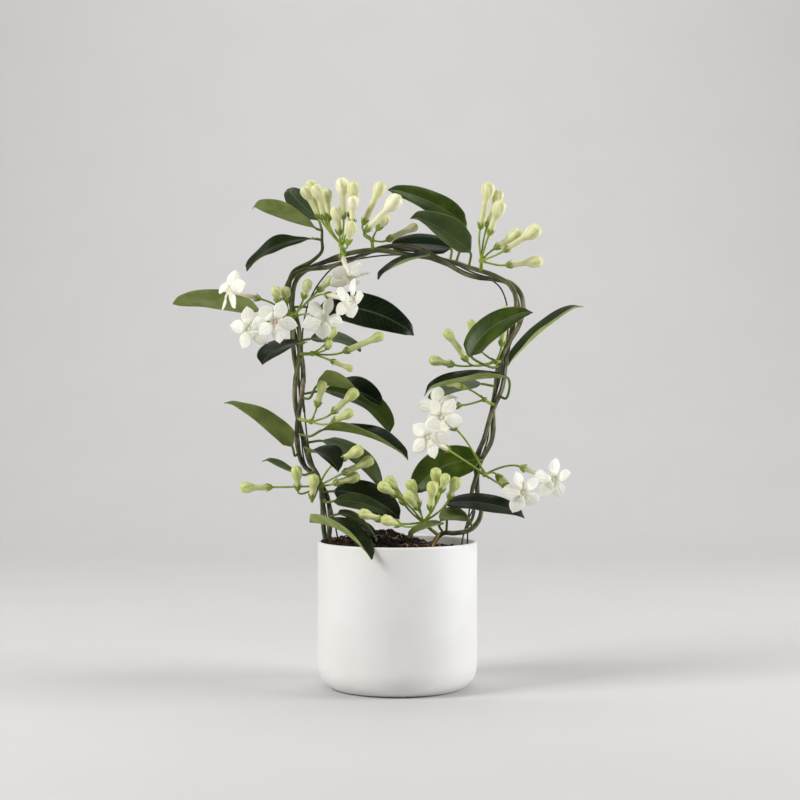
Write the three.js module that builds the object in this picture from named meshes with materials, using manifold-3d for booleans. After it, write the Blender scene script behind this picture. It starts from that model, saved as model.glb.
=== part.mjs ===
// Potted Madagascar jasmine: a white glazed pot of soil, two wire hoops, three twining stems,
// and the leathery leaves, umbels of waxy buds and star-shaped blooms that grow on them.
// Millimetres, +Z up, +X right, -Y towards the front, origin at the middle of the pot's base.

import * as THREE from 'three';
import Module from 'manifold-3d';

const wasm = await Module();
wasm.setup();

// Driving dimensions

const CLEARANCE = 0.35;
const SEAT_GAP = 0.5;
const HOLE_PLAY = 0.6;

const POT = {
  radius: 70,
  height: 128,
  wall: 3,
  footRadius: 54,
  footRise: 22,
  floor: 5,
  lip: 0.8,
  sides: 36,
};

const SOIL = {
  level: 122,
  mound: 14,
  moundX: -12,
  moundSpread: 26,
  slope: -0.06,
  lump: 0.7,
  sides: 26,
  rings: 5,
};

const STEM = {
  radius: 2.1,
  helixRadius: 3.6,
  helixSwell: 0.4,
  pitch: 120,
  sides: 5,
  stepsPerTurn: 10,
};

const WIRE = { radius: 0.7, sides: 4, stepsPerPoint: 2 };

const LEAF = {
  petioleRadius: 1.1,
  ribThickness: 1.5,
  edgeThickness: 0.7,
  tipHalfWidth: 0.4,
  belly: 0.88,
  footShare: 0.12,
  petioleSteps: 3,
};

const UMBEL = {
  peduncleRadius: 1.4,
  knobRadius: 2.6,
  pedicelRadius: 0.85,
  calyxRadius: 2.7,
  calyxLength: 4,
};

const BUD = { tubeRadius: 2.5, footRadius: 2.7, sides: 5 };

const BLOOM = {
  lobeLength: 20,
  notchRatio: 0.28,
  shoulderRatio: 0.6,
  shoulderAngle: 27,
  thickness: 0.8,
  droop: 0.1,
  tubeSides: 6,
  footRadius: 2.4,
  waistRadius: 1.8,
  throatRadius: 3.2,
};

// Route of the twined stems round the hoop, from the soil at the left to the soil at the right

const BUNDLE_ROUTE = [
  [-57, 0, 106], [-60, 0, 128], [-62, 0, 146], [-65, 0, 164], [-72, 0, 183], [-81, 0, 196],
  [-84, 0, 216], [-86, 0, 252], [-87, 0, 290], [-90, 0, 313], [-94, 0, 332], [-95, 0, 348],
  [-91, 0, 360], [-80, 0, 368], [-62, 0, 372], [-40, 0, 377], [-15, 0, 382], [5, 0, 383],
  [24, 0, 381], [45, 0, 374], [65, 0, 364], [86, 0, 357], [98, 0, 352], [105, 0, 343],
  [107, 0, 331], [105, 0, 316], [99, 0, 300], [93, 0, 282], [88, 0, 262], [82, 0, 244],
  [79, 0, 216], [73, 0, 199], [71, 0, 181], [69, 0, 168], [70, -1, 153], [63, -5, 142],
  [50, -6, 137], [40, -6, 135], [34, -6, 126], [33, -6, 106],
];

// Share of the bundle's length at which each stem starts and ends, and its turn round the hoop

const STEMS = [
  { name: 'stem_left', start: 0, end: 0.93, phase: 110, shoot: [] },
  { name: 'stem_right', start: 1, end: 0.19, phase: 230, shoot: [] },
  { name: 'stem_shoot', start: 0, end: 0.38, phase: 350,
    shoot: [[-66, -6, 382], [-66, -6, 391], [-66, -5, 400]] },
];

const HOOP_FRONT_ROUTE = [
  [-57, 0, 104], [-60, 0, 128], [-62, 0, 146], [-65, 0, 164], [-72, 0, 183], [-81, 0, 196],
  [-84, 0, 216], [-86, 0, 252], [-87, 0, 290], [-90, 0, 313], [-94, 0, 332], [-95, 0, 348],
  [-91, 0, 360], [-80, 0, 368], [-62, 0, 372], [-40, 0, 377], [-15, 0, 382], [5, 0, 383],
  [24, 0, 381], [45, 0, 374], [65, 0, 364], [86, 0, 357], [98, 0, 352], [105, 0, 343],
  [107, 0, 331], [105, 0, 316], [99, 0, 300], [93, 0, 282], [88, 0, 262], [82, 0, 244],
  [79, 0, 216], [73, 0, 199], [71, 0, 181], [69, 0, 170], [68, 2.5, 163], [67, 5.5, 156],
  [62, 7, 145], [57, 7, 126], [56, 7, 104],
];

const HOOP_BACK_ROUTE = [
  [-50, 9, 104], [-53, 9, 130], [-61, 9, 165], [-76, 9, 200], [-82, 9, 240], [-84, 9, 290],
  [-83, 9, 318], [-77, 9, 341], [-66, 9, 359], [-54, 9, 370], [-15, 9, 379], [20, 9, 378],
  [60, 9, 364], [82, 9, 358], [92, 9, 349], [98, 9, 326], [95, 9, 296], [87, 9, 262],
  [77, 9, 220], [68, 9, 180], [63, 9, 150], [62, 9, 128], [62, 9, 104],
];

// Leaves: blade from base to tip, bowed by arch, the way its upper side faces, and its fold in degrees

const LEAVES = [
  { name: 'leaf_crown_pale', base: [-70, -5, 401], tip: [-126, -20, 422], arch: [-7, 0, 9], width: 25,
    face: [0.25, 0.5, 0.85], fold: 10, belly: 1.12 },
  { name: 'leaf_crown_small', base: [-69, 9, 410], tip: [-99, 24, 440], arch: [-4, 0, 2], width: 22,
    face: [-0.5, -0.35, 0.8], fold: 14 },
  { name: 'leaf_crown_dark', base: [-70, -12, 392], tip: [-130, -30, 363], arch: [-12, 0, 14], width: 25,
    face: [-0.3, -0.5, 0.8], fold: 12, belly: 1.05 },
  { name: 'leaf_far_left', base: [-120, 15, 330], tip: [-200, 20, 338], arch: [0, 0, 12], width: 33,
    face: [0, 0.5, 0.85], fold: 8 },
  { name: 'leaf_under_blooms', base: [-80, -16, 302], tip: [-115, -55, 283], arch: [-4, -4, 8],
    width: 34, face: [-0.3, -0.5, 0.8], fold: 14 },
  { name: 'leaf_upper_dark', base: [-69, -10, 333], tip: [15, -15, 309], arch: [4, 0, 16], width: 32,
    face: [0.2, -0.9, 0.35], fold: 6 },
  { name: 'leaf_narrow', base: [-77, -3, 305], tip: [-31, 4, 296], arch: [2, 0, 9], width: 22,
    face: [0, -0.55, 0.85], fold: 14 },
  { name: 'leaf_middle_high', petiole: [[-77, -6, 253]], base: [-71, -10, 265], tip: [-13, -12, 247],
    arch: [6, 0, 9], width: 36, face: [0.1, 0.55, 0.8], tipFace: [0.2, -1, 0.4], fold: 36, belly: 0.62 },
  { name: 'leaf_middle_olive', base: [-67, 10, 260], tip: [-6, 6, 223], arch: [16, 0, 12], width: 36,
    face: [0.35, -0.5, 0.75], fold: 24 },
  { name: 'leaf_middle_folded', petiole: [[-75, -10, 220]], base: [-67, -13, 226], tip: [10, -25, 201],
    arch: [6, 0, 13], width: 33, face: [0.2, 0.12, 1], tipFace: [0.25, -0.42, 0.9], fold: 34 },
  { name: 'leaf_middle_arched', base: [-68, 8, 216], tip: [-14, 2, 173], arch: [14, 0, 12], width: 28,
    face: [0.6, -0.5, 0.6], fold: 12 },
  { name: 'leaf_middle_low', base: [-78, -10, 206], tip: [-50, -50, 192], arch: [2, 0, 10], width: 31,
    face: [0, -0.15, 1], fold: 32 },
  { name: 'leaf_left', petiole: [[-90, -6, 203]], base: [-91, -8, 211], tip: [-150, -15, 251],
    arch: [6, 0, 5], width: 26, face: [-0.5, -0.32, 0.75], fold: 24, belly: 0.62 },
  { name: 'leaf_left_narrow', base: [-81, -13, 186], tip: [-116, -13, 201], arch: [-2, 0, -3], width: 17,
    face: [0, -0.15, 1], fold: 22 },
  { name: 'leaf_rim', base: [-77, -20, 146], tip: [-21, -78, 119], arch: [4, -4, 16], width: 34,
    face: [0.15, 0.08, 1], fold: 36 },
  { name: 'leaf_rim_dark', base: [-55, -8, 143], tip: [-18, -30, 135], arch: [0, 0, 8], width: 18,
    face: [0, -0.3, 0.95], fold: 12 },
  { name: 'leaf_rim_grey', base: [-52, -22, 153], tip: [-16, -60, 133], arch: [4, -2, 10], width: 20,
    face: [0.5, 0.4, 0.75], fold: 12 },
  { name: 'leaf_low_black', base: [-57, -8, 172], tip: [2, -30, 150], arch: [4, 2, 12], width: 33,
    face: [0.2, -0.75, 0.6], fold: 8 },
  { name: 'leaf_low_glossy', petiole: [[-61, -22, 163]], base: [-56, -36, 165], tip: [-9, -47, 155],
    arch: [2, 0, 7], width: 20, face: [0.1, -0.6, 0.8], fold: 12 },
  { name: 'leaf_right_broad', base: [74, -11, 199], tip: [13, -16, 171], arch: [-8, 0, 17], width: 35,
    face: [-0.1, -0.85, 0.5], fold: 10 },
  { name: 'leaf_right_low', petiole: [[43, -15, 148]], base: [40, -18, 161], tip: [111, -26, 152],
    arch: [0, 0, 11], width: 27, face: [0, -0.5, 0.85], fold: 10 },
  { name: 'leaf_small_front', petiole: [[36, -18, 143]], base: [40, -33, 146], tip: [9, -58, 137],
    arch: [0, 0, 4], width: 17, face: [-0.2, -0.3, 0.9], fold: 18 },
  { name: 'leaf_small_right', base: [61, -16, 151], tip: [37, -37, 149], arch: [0, 0, 4], width: 22,
    face: [-0.2, -0.7, 0.65], fold: 12 },
  { name: 'leaf_right_up', petiole: [[81.5, -18, 280]], base: [62, -26, 288], tip: [117, -24, 330],
    arch: [-16, 0, 10], width: 31, face: [-0.5, -0.7, 0.5], fold: 10, belly: 0.75 },
  { name: 'leaf_far_right', base: [97, 8, 282], tip: [163, 10, 337], arch: [-5, 0, 6], width: 26,
    face: [-0.5, -0.25, 0.85], fold: 30 },
  { name: 'leaf_right_level', petiole: [[95, -9, 253], [98, -13, 264]], base: [97, -20, 272],
    tip: [22, -32, 260], arch: [0, 0, 5], width: 30, face: [-0.1, -0.2, 1], fold: 32, belly: 1.1 },
  { name: 'leaf_behind_blooms', base: [75, 14, 266], tip: [26, 12, 252], arch: [0, 0, 6], width: 26,
    face: [0, -0.4, 0.9], fold: 10 },
  { name: 'leaf_top_high', base: [62, 8, 404], tip: [-8, 5, 438], arch: [6, 0, 9], width: 26,
    face: [-0.35, -0.65, 0.65], fold: 10 },
  { name: 'leaf_top_folded', base: [65, -6, 380], tip: [12, -14, 412], arch: [-2, 0, 10], width: 32,
    face: [-0.3, -0.6, 0.7], fold: 22, belly: 0.75 },
  { name: 'leaf_top_back', base: [49, 20, 386], tip: [-7, 21, 389], arch: [0, 0, 5], width: 26,
    face: [0, -0.75, 0.65], fold: 10 },
  { name: 'leaf_top_hanging', base: [28, -10, 378], tip: [-18, -25, 358], arch: [0, 0, 6], width: 22,
    face: [-0.2, -0.3, 1], fold: 24 },
];

// Umbels: a knob on a stalk, its buds from calyx to head, and its blooms from calyx to face.
// A bloom looks along its tube unless look says otherwise, and spin turns its lobes.

const UMBELS = [
  { name: 'umbel_left_high', knob: [-90, -15, 325],
    buds: [
      { calyx: [-103, -18, 335], head: [-105, -22, 346], radius: 4.5 },
      { calyx: [-97, -12, 335], head: [-97, -14, 346], radius: 4.5 },
      { calyx: [-82, -14, 339], head: [-78, -17, 352], radius: 4.5 },
      { calyx: [-70, -10, 346], head: [-59, -12, 356], radius: 4.2 },
    ],
    blooms: [
      { name: 'bloom_far_left', calyx: [-118, -22, 339], face: [-145, -30, 346],
        look: [-0.7, -0.68, 0.2], spin: 90 },
      { name: 'bloom_left', calyx: [-117, -21, 318], face: [-126, -46, 312], spin: 98 },
      { name: 'bloom_left_near', calyx: [-99, -42, 322], face: [-102, -70, 317], spin: 67 },
      { name: 'bloom_left_low', calyx: [-73, -22, 326], face: [-63, -46, 321], spin: 63 },
      { name: 'bloom_left_right', calyx: [-63, -24, 343], face: [-39, -43, 337], spin: 82 },
    ] },
  { name: 'umbel_left_under', knob: [-74, -16, 292],
    buds: [
      { calyx: [-47, -24, 293], head: [-16, -30, 306], radius: 4.5 },
      { calyx: [-58, -27, 286], head: [-41, -33, 279], radius: 3.2 },
      { calyx: [-61, -28, 296], head: [-58, -37, 300], radius: 3.4 },
      { calyx: [-61, -22, 302], head: [-55, -24, 311], radius: 3.6 },
    ],
    blooms: [] },
  { name: 'umbel_middle_left', knob: [-75, -16, 233],
    buds: [
      { calyx: [-70, -20, 245], head: [-65, -22, 264], radius: 4.4 },
      { calyx: [-57, -23, 240], head: [-38, -29, 257], radius: 5.2 },
      { calyx: [-57, -28, 232], head: [-42, -33, 240], radius: 4.6 },
    ],
    blooms: [] },
  { name: 'umbel_low_left', knob: [-68, -18, 177],
    buds: [
      { calyx: [-108, -19, 176], head: [-131, -24, 176], radius: 5 },
      { calyx: [-86, -23, 173], head: [-87, -25, 190], radius: 5 },
      { calyx: [-74, -25, 165], head: [-72, -26, 183], radius: 5 },
      { calyx: [-56, -24, 179], head: [-37, -27, 185], radius: 5 },
      { calyx: [-48, -30, 188], head: [-25, -34, 199], radius: 5 },
      { calyx: [-50, -36, 200], head: [-34, -40, 208], radius: 5.4 },
    ],
    blooms: [] },
  { name: 'umbel_low_middle', knob: [22, -24, 146],
    buds: [
      { calyx: [7, -30, 161], head: [-6, -36, 182], radius: 5 },
      { calyx: [1, -40, 169], head: [-12, -46, 178], radius: 5 },
      { calyx: [19, -32, 159], head: [12, -36, 179], radius: 5 },
      { calyx: [18, -44, 158], head: [10, -50, 170], radius: 5 },
      { calyx: [33, -32, 165], head: [33, -37, 189], radius: 5 },
      { calyx: [37, -40, 172], head: [41, -43, 185], radius: 4.4 },
      { calyx: [28, -46, 157], head: [30, -51, 178], radius: 5.2 },
      { calyx: [44, -32, 166], head: [50, -36, 181], radius: 5 },
      { calyx: [-12, -56, 150], head: [-28, -62, 156], radius: 4.6 },
      { calyx: [3, -58, 146], head: [-9, -67, 151], radius: 4.8 },
    ],
    blooms: [] },
  { name: 'umbel_right_low', knob: [76, -17, 187],
    buds: [
      { calyx: [86, -12, 187], head: [93, -13, 179], radius: 4.4 },
    ],
    blooms: [
      { name: 'bloom_far_right', calyx: [106, -20, 194], face: [135, -28, 183],
        look: [0.4, -0.9, -0.1], spin: 90 },
      { name: 'bloom_right', calyx: [91, -26, 178], face: [107, -46, 173],
        look: [0.25, -0.96, -0.1], spin: 36 },
      { name: 'bloom_middle_low', calyx: [45, -36, 208], face: [26, -59, 220],
        look: [-0.35, -0.93, 0], spin: 68 },
      { name: 'bloom_middle_high', calyx: [51, -31, 226], face: [38, -43, 237],
        look: [-0.35, -0.9, 0.2], spin: 60 },
    ] },
  { name: 'umbel_right_high', knob: [86, -8, 285],
    buds: [
      { calyx: [61, -16, 285], head: [44, -20, 309], radius: 4.6 },
      { calyx: [68, -6, 303], head: [65, -5, 318], radius: 4.2 },
      { calyx: [50, -14, 282], head: [32, -18, 286], radius: 4.6 },
      { calyx: [91, -6, 298], head: [95, -3, 330], radius: 4.2 },
    ],
    blooms: [] },
  { name: 'umbel_right_middle', knob: [76, -12, 252],
    buds: [
      { calyx: [60, -10, 262], head: [44, -8, 267], radius: 3.4 },
    ],
    blooms: [
      { name: 'bloom_middle_back', calyx: [56, -7, 247], face: [35, -17, 246],
        look: [-0.3, -0.93, 0.15], spin: 100 },
    ] },
  { name: 'umbel_crown', knob: [-49, -11, 387],
    buds: [
      { calyx: [-67, -5, 410], head: [-80, -4, 434], radius: 5.2 },
      { calyx: [-65, 4, 414], head: [-76, 6, 441], radius: 5 },
      { calyx: [-63, -13, 408], head: [-70, -15, 434], radius: 5.4 },
      { calyx: [-60, -3, 408], head: [-62, -1, 432], radius: 5 },
      { calyx: [-47, -8, 409], head: [-48, -7, 440], radius: 6.2 },
      { calyx: [-41, -14, 409], head: [-38, -16, 436], radius: 5.6 },
      { calyx: [-39, -24, 402], head: [-38, -26, 423], radius: 5 },
      { calyx: [-50, -20, 394], head: [-53, -22, 414], radius: 5.2 },
      { calyx: [-43, -26, 385], head: [-40, -28, 401], radius: 5.4 },
    ],
    blooms: [
      { name: 'bloom_hanging', calyx: [-49, -15, 380], face: [-41, -24, 357],
        look: [0.25, -0.5, -0.83], spin: 90 },
    ] },
  { name: 'umbel_top', knob: [-22, -11, 391],
    buds: [
      { calyx: [-30, -14, 404], head: [-15, -17, 436], radius: 5.6 },
      { calyx: [-28, -23, 397], head: [-2, -26, 423], radius: 6.8 },
      { calyx: [-18, -14, 399], head: [-11, -15, 409], radius: 4.8 },
      { calyx: [-10, -6, 391], head: [14, -1, 403], radius: 4.2 },
    ],
    blooms: [] },
  { name: 'umbel_top_right', knob: [73, -14, 373],
    buds: [
      { calyx: [72, -13, 400], head: [79, -15, 435], radius: 6.2 },
      { calyx: [78, -8, 402], head: [88, -6, 430], radius: 5.2 },
      { calyx: [79, -20, 394], head: [88, -24, 418], radius: 6 },
      { calyx: [84, -14, 383], head: [103, -17, 395], radius: 6 },
      { calyx: [91, -24, 380], head: [118, -28, 397], radius: 6.4 },
      { calyx: [94, -12, 369], head: [121, -15, 372], radius: 5.6 },
    ],
    blooms: [] },
];

// Finishes

function finish(colour, roughness) {
  return new THREE.MeshStandardMaterial({ color: colour, roughness: roughness, metalness: 0 });
}

const GLAZE = finish(0xefefed, 0.45);
const EARTH = finish(0x33231b, 0.95);
const BARK = finish(0x77764f, 0.7);
const COATED_WIRE = finish(0x2e332b, 0.5);
const LEAF_GREEN = finish(0x2c3b24, 0.4);
const BUD_GREEN = finish(0xc6cf9a, 0.5);
const PETAL_WHITE = finish(0xf4f4ec, 0.5);

// Closed solids from rings of points

function vector(point) {
  return new THREE.Vector3(point[0], point[1], point[2]);
}

function flipped(triangles) {
  return triangles.map(([a, b, c]) => [a, c, b]);
}

function signedVolume(points, triangles) {
  const cross = new THREE.Vector3();
  return triangles.reduce((sum, [a, b, c]) => {
    return sum + cross.crossVectors(points[b], points[c]).dot(points[a]);
  }, 0);
}

function solidOf(points, triangles) {
  const outward = signedVolume(points, triangles) > 0 ? triangles : flipped(triangles);
  const mesh = new wasm.Mesh({
    numProp: 3,
    vertProperties: Float32Array.from(points.flatMap((point) => [point.x, point.y, point.z])),
    triVerts: Uint32Array.from(outward.flat()),
  });
  return new wasm.Manifold(mesh);
}

// Skins a row of rings and closes both ends. With alike set, each ring runs along an upper edge
// and back along a lower one, and both faces are split along the same diagonals.
function loft(rings, alike = false) {
  const count = rings[0].length;
  const triangles = [];
  for (let ring = 0; ring + 1 < rings.length; ring += 1) {
    for (let side = 0; side < count; side += 1) {
      const next = (side + 1) % count;
      const a = ring * count + side;
      const b = ring * count + next;
      const c = a + count;
      const d = b + count;
      const lower = alike && side >= count / 2;
      triangles.push(...(lower ? [[a, b, c], [b, d, c]] : [[a, b, d], [a, d, c]]));
    }
  }
  const last = (rings.length - 1) * count;
  for (let side = 1; side + 1 < count; side += 1) {
    triangles.push([0, side + 1, side]);
    triangles.push([last, last + side, last + side + 1]);
  }
  return solidOf(rings.flat(), triangles);
}

function squareTo(along) {
  const helper = Math.abs(along.y) < 0.9 ? new THREE.Vector3(0, 1, 0) : new THREE.Vector3(1, 0, 0);
  return helper.addScaledVector(along, -helper.dot(along)).normalize();
}

// A direction across a path, carried round a bend without any twist
function carried(across, from, to) {
  return across.clone().applyQuaternion(new THREE.Quaternion().setFromUnitVectors(from, to));
}

function ringAround(centre, along, across, radius, sides) {
  const upward = along.clone().cross(across);
  return Array.from({ length: sides }, (_, side) => {
    const angle = (side / sides) * Math.PI * 2;
    return centre.clone()
      .addScaledVector(across, Math.cos(angle) * radius)
      .addScaledVector(upward, Math.sin(angle) * radius);
  });
}

function tubeThrough(points, radii, sides) {
  const headings = points.map((point, index) => {
    const before = points[Math.max(index - 1, 0)];
    const after = points[Math.min(index + 1, points.length - 1)];
    return after.clone().sub(before).normalize();
  });
  let across = squareTo(headings[0]);
  const rings = points.map((point, index) => {
    across = carried(across, headings[Math.max(index - 1, 0)], headings[index]);
    return ringAround(point, headings[index], across, radii[index], sides);
  });
  return loft(rings);
}

function union(solids) {
  return solids.reduce((whole, solid) => whole.add(solid));
}

// Twining stems and the hoops that carry them

const bundle = new THREE.CatmullRomCurve3(BUNDLE_ROUTE.map(vector), false, 'centripetal');
bundle.arcLengthDivisions = 800;
const bundleLength = bundle.getLength();

function stemPoint(share, phase) {
  const along = bundle.getTangentAt(share);
  const depth = new THREE.Vector3(0, 1, 0);
  const outward = along.clone().cross(depth).normalize();
  const turn = THREE.MathUtils.degToRad(phase) + (share * bundleLength / STEM.pitch) * Math.PI * 2;
  const reach = STEM.helixRadius + STEM.helixSwell * Math.sin(3 * Math.PI * share) ** 2;
  return bundle.getPointAt(share)
    .addScaledVector(depth, Math.cos(turn) * reach)
    .addScaledVector(outward, Math.sin(turn) * reach);
}

function stemCentres(stem) {
  const steps = Math.ceil(bundleLength / STEM.pitch * STEM.stepsPerTurn);
  const first = Math.round(stem.start * steps);
  const last = Math.round(stem.end * steps);
  const wound = Array.from({ length: Math.abs(last - first) + 1 }, (_, index) => {
    return stemPoint((first + Math.sign(last - first) * index) / steps, stem.phase);
  });
  return wound.concat(stem.shoot.map(vector));
}

// The last steps of a stem taper towards its growing tip
function taperedRadii(count, radius, tipSteps) {
  return Array.from({ length: count }, (_, index) => {
    const fromTip = count - 1 - index;
    return radius * Math.min(1, 0.55 + 0.45 * (fromTip / tipSteps));
  });
}

function hoopSolid(route, extra = 0) {
  const curve = new THREE.CatmullRomCurve3(route.map(vector), false, 'centripetal');
  const points = curve.getPoints((route.length - 1) * WIRE.stepsPerPoint);
  return tubeThrough(points, points.map(() => WIRE.radius + extra), WIRE.sides);
}

const stemRuns = STEMS.map((stem) => {
  const centres = stemCentres(stem);
  return { name: stem.name, centres, radii: taperedRadii(centres.length, STEM.radius, 6) };
});

// Where a stalk that heads for a point leaves the nearest stem, just clear of its bark
function seatTowards(target) {
  const spots = stemRuns.flatMap((run) => run.centres.slice(1).map((centre, index) => {
    const stretch = new THREE.Line3(run.centres[index], centre);
    const point = stretch.closestPointToPoint(target, true, new THREE.Vector3());
    return { point, radius: Math.max(run.radii[index], run.radii[index + 1]) };
  }));
  const nearest = spots.reduce((best, spot) => {
    return spot.point.distanceTo(target) < best.point.distanceTo(target) ? spot : best;
  });
  const outward = target.clone().sub(nearest.point).normalize();
  return nearest.point.clone().addScaledVector(outward, nearest.radius + SEAT_GAP);
}

// Leaves: a stalk that widens into a blade folded along its midrib

function bladeHalfWidth(share, leaf) {
  const bell = Math.sin(Math.PI * share ** (leaf.belly || LEAF.belly)) ** 0.58;
  const foot = Math.min(1, share / LEAF.footShare) ** 0.7;
  return Math.max(leaf.width / 2 * bell * foot, LEAF.tipHalfWidth);
}

function leafRing(centre, along, face, halfWidth, rib, edge, fold) {
  const direction = along.clone().normalize();
  const normal = face.clone().addScaledVector(direction, -face.dot(direction)).normalize();
  const side = direction.clone().cross(normal);
  const reach = halfWidth * Math.cos(fold);
  const rise = halfWidth * Math.sin(fold);
  const spots = [
    [-reach, rise + edge / 2], [0, rib / 2], [reach, rise + edge / 2],
    [reach, rise - edge / 2], [0, -rib / 2], [-reach, rise - edge / 2],
  ];
  return spots.map(([across, up]) => {
    return centre.clone().addScaledVector(side, across).addScaledVector(normal, up);
  });
}

function leafSolid(leaf) {
  const base = vector(leaf.base);
  const tip = vector(leaf.tip);
  const middle = base.clone().add(tip).multiplyScalar(0.5).add(vector(leaf.arch));
  const blade = new THREE.QuadraticBezierCurve3(base, middle, tip);
  const stops = (leaf.petiole || []).map(vector);
  const seat = seatTowards(stops.length > 0 ? stops[0] : base);
  const petiole = new THREE.CatmullRomCurve3([seat, ...stops, base], false, 'centripetal');
  const face = vector(leaf.face).normalize();
  const tipFace = vector(leaf.tipFace || leaf.face).normalize();
  const rings = [];
  let heading = blade.getTangent(0);
  let upper = face.clone().addScaledVector(heading, -face.dot(heading)).normalize();
  for (let step = LEAF.petioleSteps - 1; step >= 0; step -= 1) {
    const share = step / LEAF.petioleSteps;
    const along = petiole.getTangent(share);
    const radius = LEAF.petioleRadius;
    upper = carried(upper, heading, along);
    heading = along;
    rings.unshift(leafRing(petiole.getPoint(share), along, upper, radius, 2 * radius, radius, 0));
  }
  const shares = [0.02, 0.11, 0.26, 0.44, 0.62, 0.79, 0.93, 1];
  for (const share of shares) {
    const halfWidth = bladeHalfWidth(share, leaf);
    const turned = face.clone().lerp(tipFace, share).normalize();
    const fold = THREE.MathUtils.degToRad(leaf.fold);
    const rib = THREE.MathUtils.lerp(LEAF.ribThickness, LEAF.edgeThickness, share);
    const along = blade.getTangent(share);
    rings.push(leafRing(blade.getPoint(share), along, turned, halfWidth, rib, LEAF.edgeThickness, fold));
  }
  return loft(rings, true);
}

// Umbels: stalk, knob, and a pedicel with its calyx for each bud and bloom

function pedicelPoints(knob, calyx, heading) {
  const lift = calyx.distanceTo(knob) * 0.35;
  const bend = calyx.clone().addScaledVector(heading, -lift);
  const curve = new THREE.QuadraticBezierCurve3(knob, bend, calyx);
  const turnsBack = calyx.clone().sub(knob).dot(heading) < 0;
  const shares = turnsBack ? [0, 0.5, 0.8] : [0, 0.6];
  return shares.map((share) => curve.getPoint(share));
}

function budSolid(knob, bud) {
  const calyx = vector(bud.calyx);
  const head = vector(bud.head);
  const heading = head.clone().sub(calyx).normalize();
  const length = head.distanceTo(calyx);
  const along = (distance) => calyx.clone().addScaledVector(heading, distance);
  const stalk = pedicelPoints(knob, calyx, heading);
  const points = [
    ...stalk, calyx, along(UMBEL.calyxLength * 0.5), along(UMBEL.calyxLength),
    along(Math.max(length - bud.radius * 1.3, UMBEL.calyxLength + 0.5)), along(length - bud.radius * 0.2),
    along(length + bud.radius * 0.6), along(length + bud.radius * 1.25),
  ];
  const scale = Math.min(1, bud.radius / 4);
  const radii = [
    ...stalk.map(() => UMBEL.pedicelRadius), UMBEL.pedicelRadius * 1.2,
    UMBEL.calyxRadius * scale, BUD.footRadius * scale,
    BUD.tubeRadius * scale, bud.radius, bud.radius * 0.72, bud.radius * 0.16,
  ];
  return tubeThrough(points, radii, BUD.sides);
}

function bloomStalkSolid(knob, bloom) {
  const calyx = vector(bloom.calyx);
  const heading = vector(bloom.face).sub(calyx).normalize();
  const stalk = pedicelPoints(knob, calyx, heading);
  const cup = calyx.clone().addScaledVector(heading, UMBEL.calyxLength);
  const points = [...stalk, calyx, calyx.clone().addScaledVector(heading, UMBEL.calyxLength * 0.4), cup];
  const radius = UMBEL.pedicelRadius;
  const radii = [...stalk.map(() => radius), radius * 1.2, UMBEL.calyxRadius, UMBEL.calyxRadius];
  return tubeThrough(points, radii, BUD.sides);
}

function knobSolid(centre) {
  const radius = UMBEL.knobRadius;
  const spots = [-1, -0.5, 0.5, 1].map((share) => {
    return centre.clone().add(new THREE.Vector3(0, 0, share * radius));
  });
  return tubeThrough(spots, [radius * 0.3, radius * 0.9, radius * 0.9, radius * 0.3], BUD.sides);
}

function umbelSolid(umbel) {
  const knob = vector(umbel.knob);
  const seat = seatTowards(knob);
  const radius = UMBEL.peduncleRadius;
  const peduncle = tubeThrough([seat, knob], [radius, radius], BUD.sides);
  const buds = umbel.buds.map((bud) => budSolid(knob, bud));
  const stalks = umbel.blooms.map((bloom) => bloomStalkSolid(knob, bloom));
  return union([peduncle, knobSolid(knob), ...buds, ...stalks]);
}

// Blooms: a slender tube that opens into five pointed lobes

function lobeOutline() {
  const shoulder = BLOOM.shoulderAngle;
  const corners = [];
  for (let lobe = 0; lobe < 5; lobe += 1) {
    const axis = lobe * 72;
    corners.push([axis, BLOOM.lobeLength], [axis + shoulder, BLOOM.lobeLength * BLOOM.shoulderRatio]);
    corners.push([axis + 36, BLOOM.lobeLength * BLOOM.notchRatio]);
    corners.push([axis + 72 - shoulder, BLOOM.lobeLength * BLOOM.shoulderRatio]);
  }
  return corners;
}

function starSolid(centre, axis, spin) {
  const up = new THREE.Vector3(0, 0, 1).addScaledVector(axis, -axis.z).normalize();
  const right = up.clone().cross(axis);
  const outline = lobeOutline();
  const spot = (degrees, radius, height) => {
    const angle = THREE.MathUtils.degToRad(degrees + spin);
    return centre.clone()
      .addScaledVector(right, Math.cos(angle) * radius)
      .addScaledVector(up, Math.sin(angle) * radius)
      .addScaledVector(axis, height);
  };
  const rim = BLOOM.throatRadius + 0.4;
  const lobes = (drop) => outline.map(([degrees, reach]) => {
    return spot(degrees, reach, -BLOOM.droop * reach - drop);
  });
  const throat = (drop) => outline.map(([degrees]) => spot(degrees, rim, -drop));
  return loft([throat(BLOOM.thickness), lobes(BLOOM.thickness), lobes(0), throat(0)]);
}

function bloomSolid(bloom) {
  const calyx = vector(bloom.calyx);
  const face = vector(bloom.face);
  const axis = face.clone().sub(calyx).normalize();
  const look = bloom.look ? vector(bloom.look).normalize() : axis;
  const length = face.distanceTo(calyx);
  const foot = UMBEL.calyxLength + CLEARANCE;
  const along = (distance) => calyx.clone().addScaledVector(axis, distance);
  const throat = (depth) => face.clone().addScaledVector(look, -depth);
  const points = [along(foot), along(foot + 4), along(length * 0.6), throat(3), throat(0.4)];
  const radii = [
    BLOOM.footRadius * 0.8, BLOOM.footRadius, BLOOM.waistRadius, BLOOM.waistRadius + 0.6, BLOOM.throatRadius,
  ];
  const tube = tubeThrough(points, radii, BLOOM.tubeSides);
  return tube.add(starSolid(face, look, bloom.spin));
}

// Pot and soil

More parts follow.
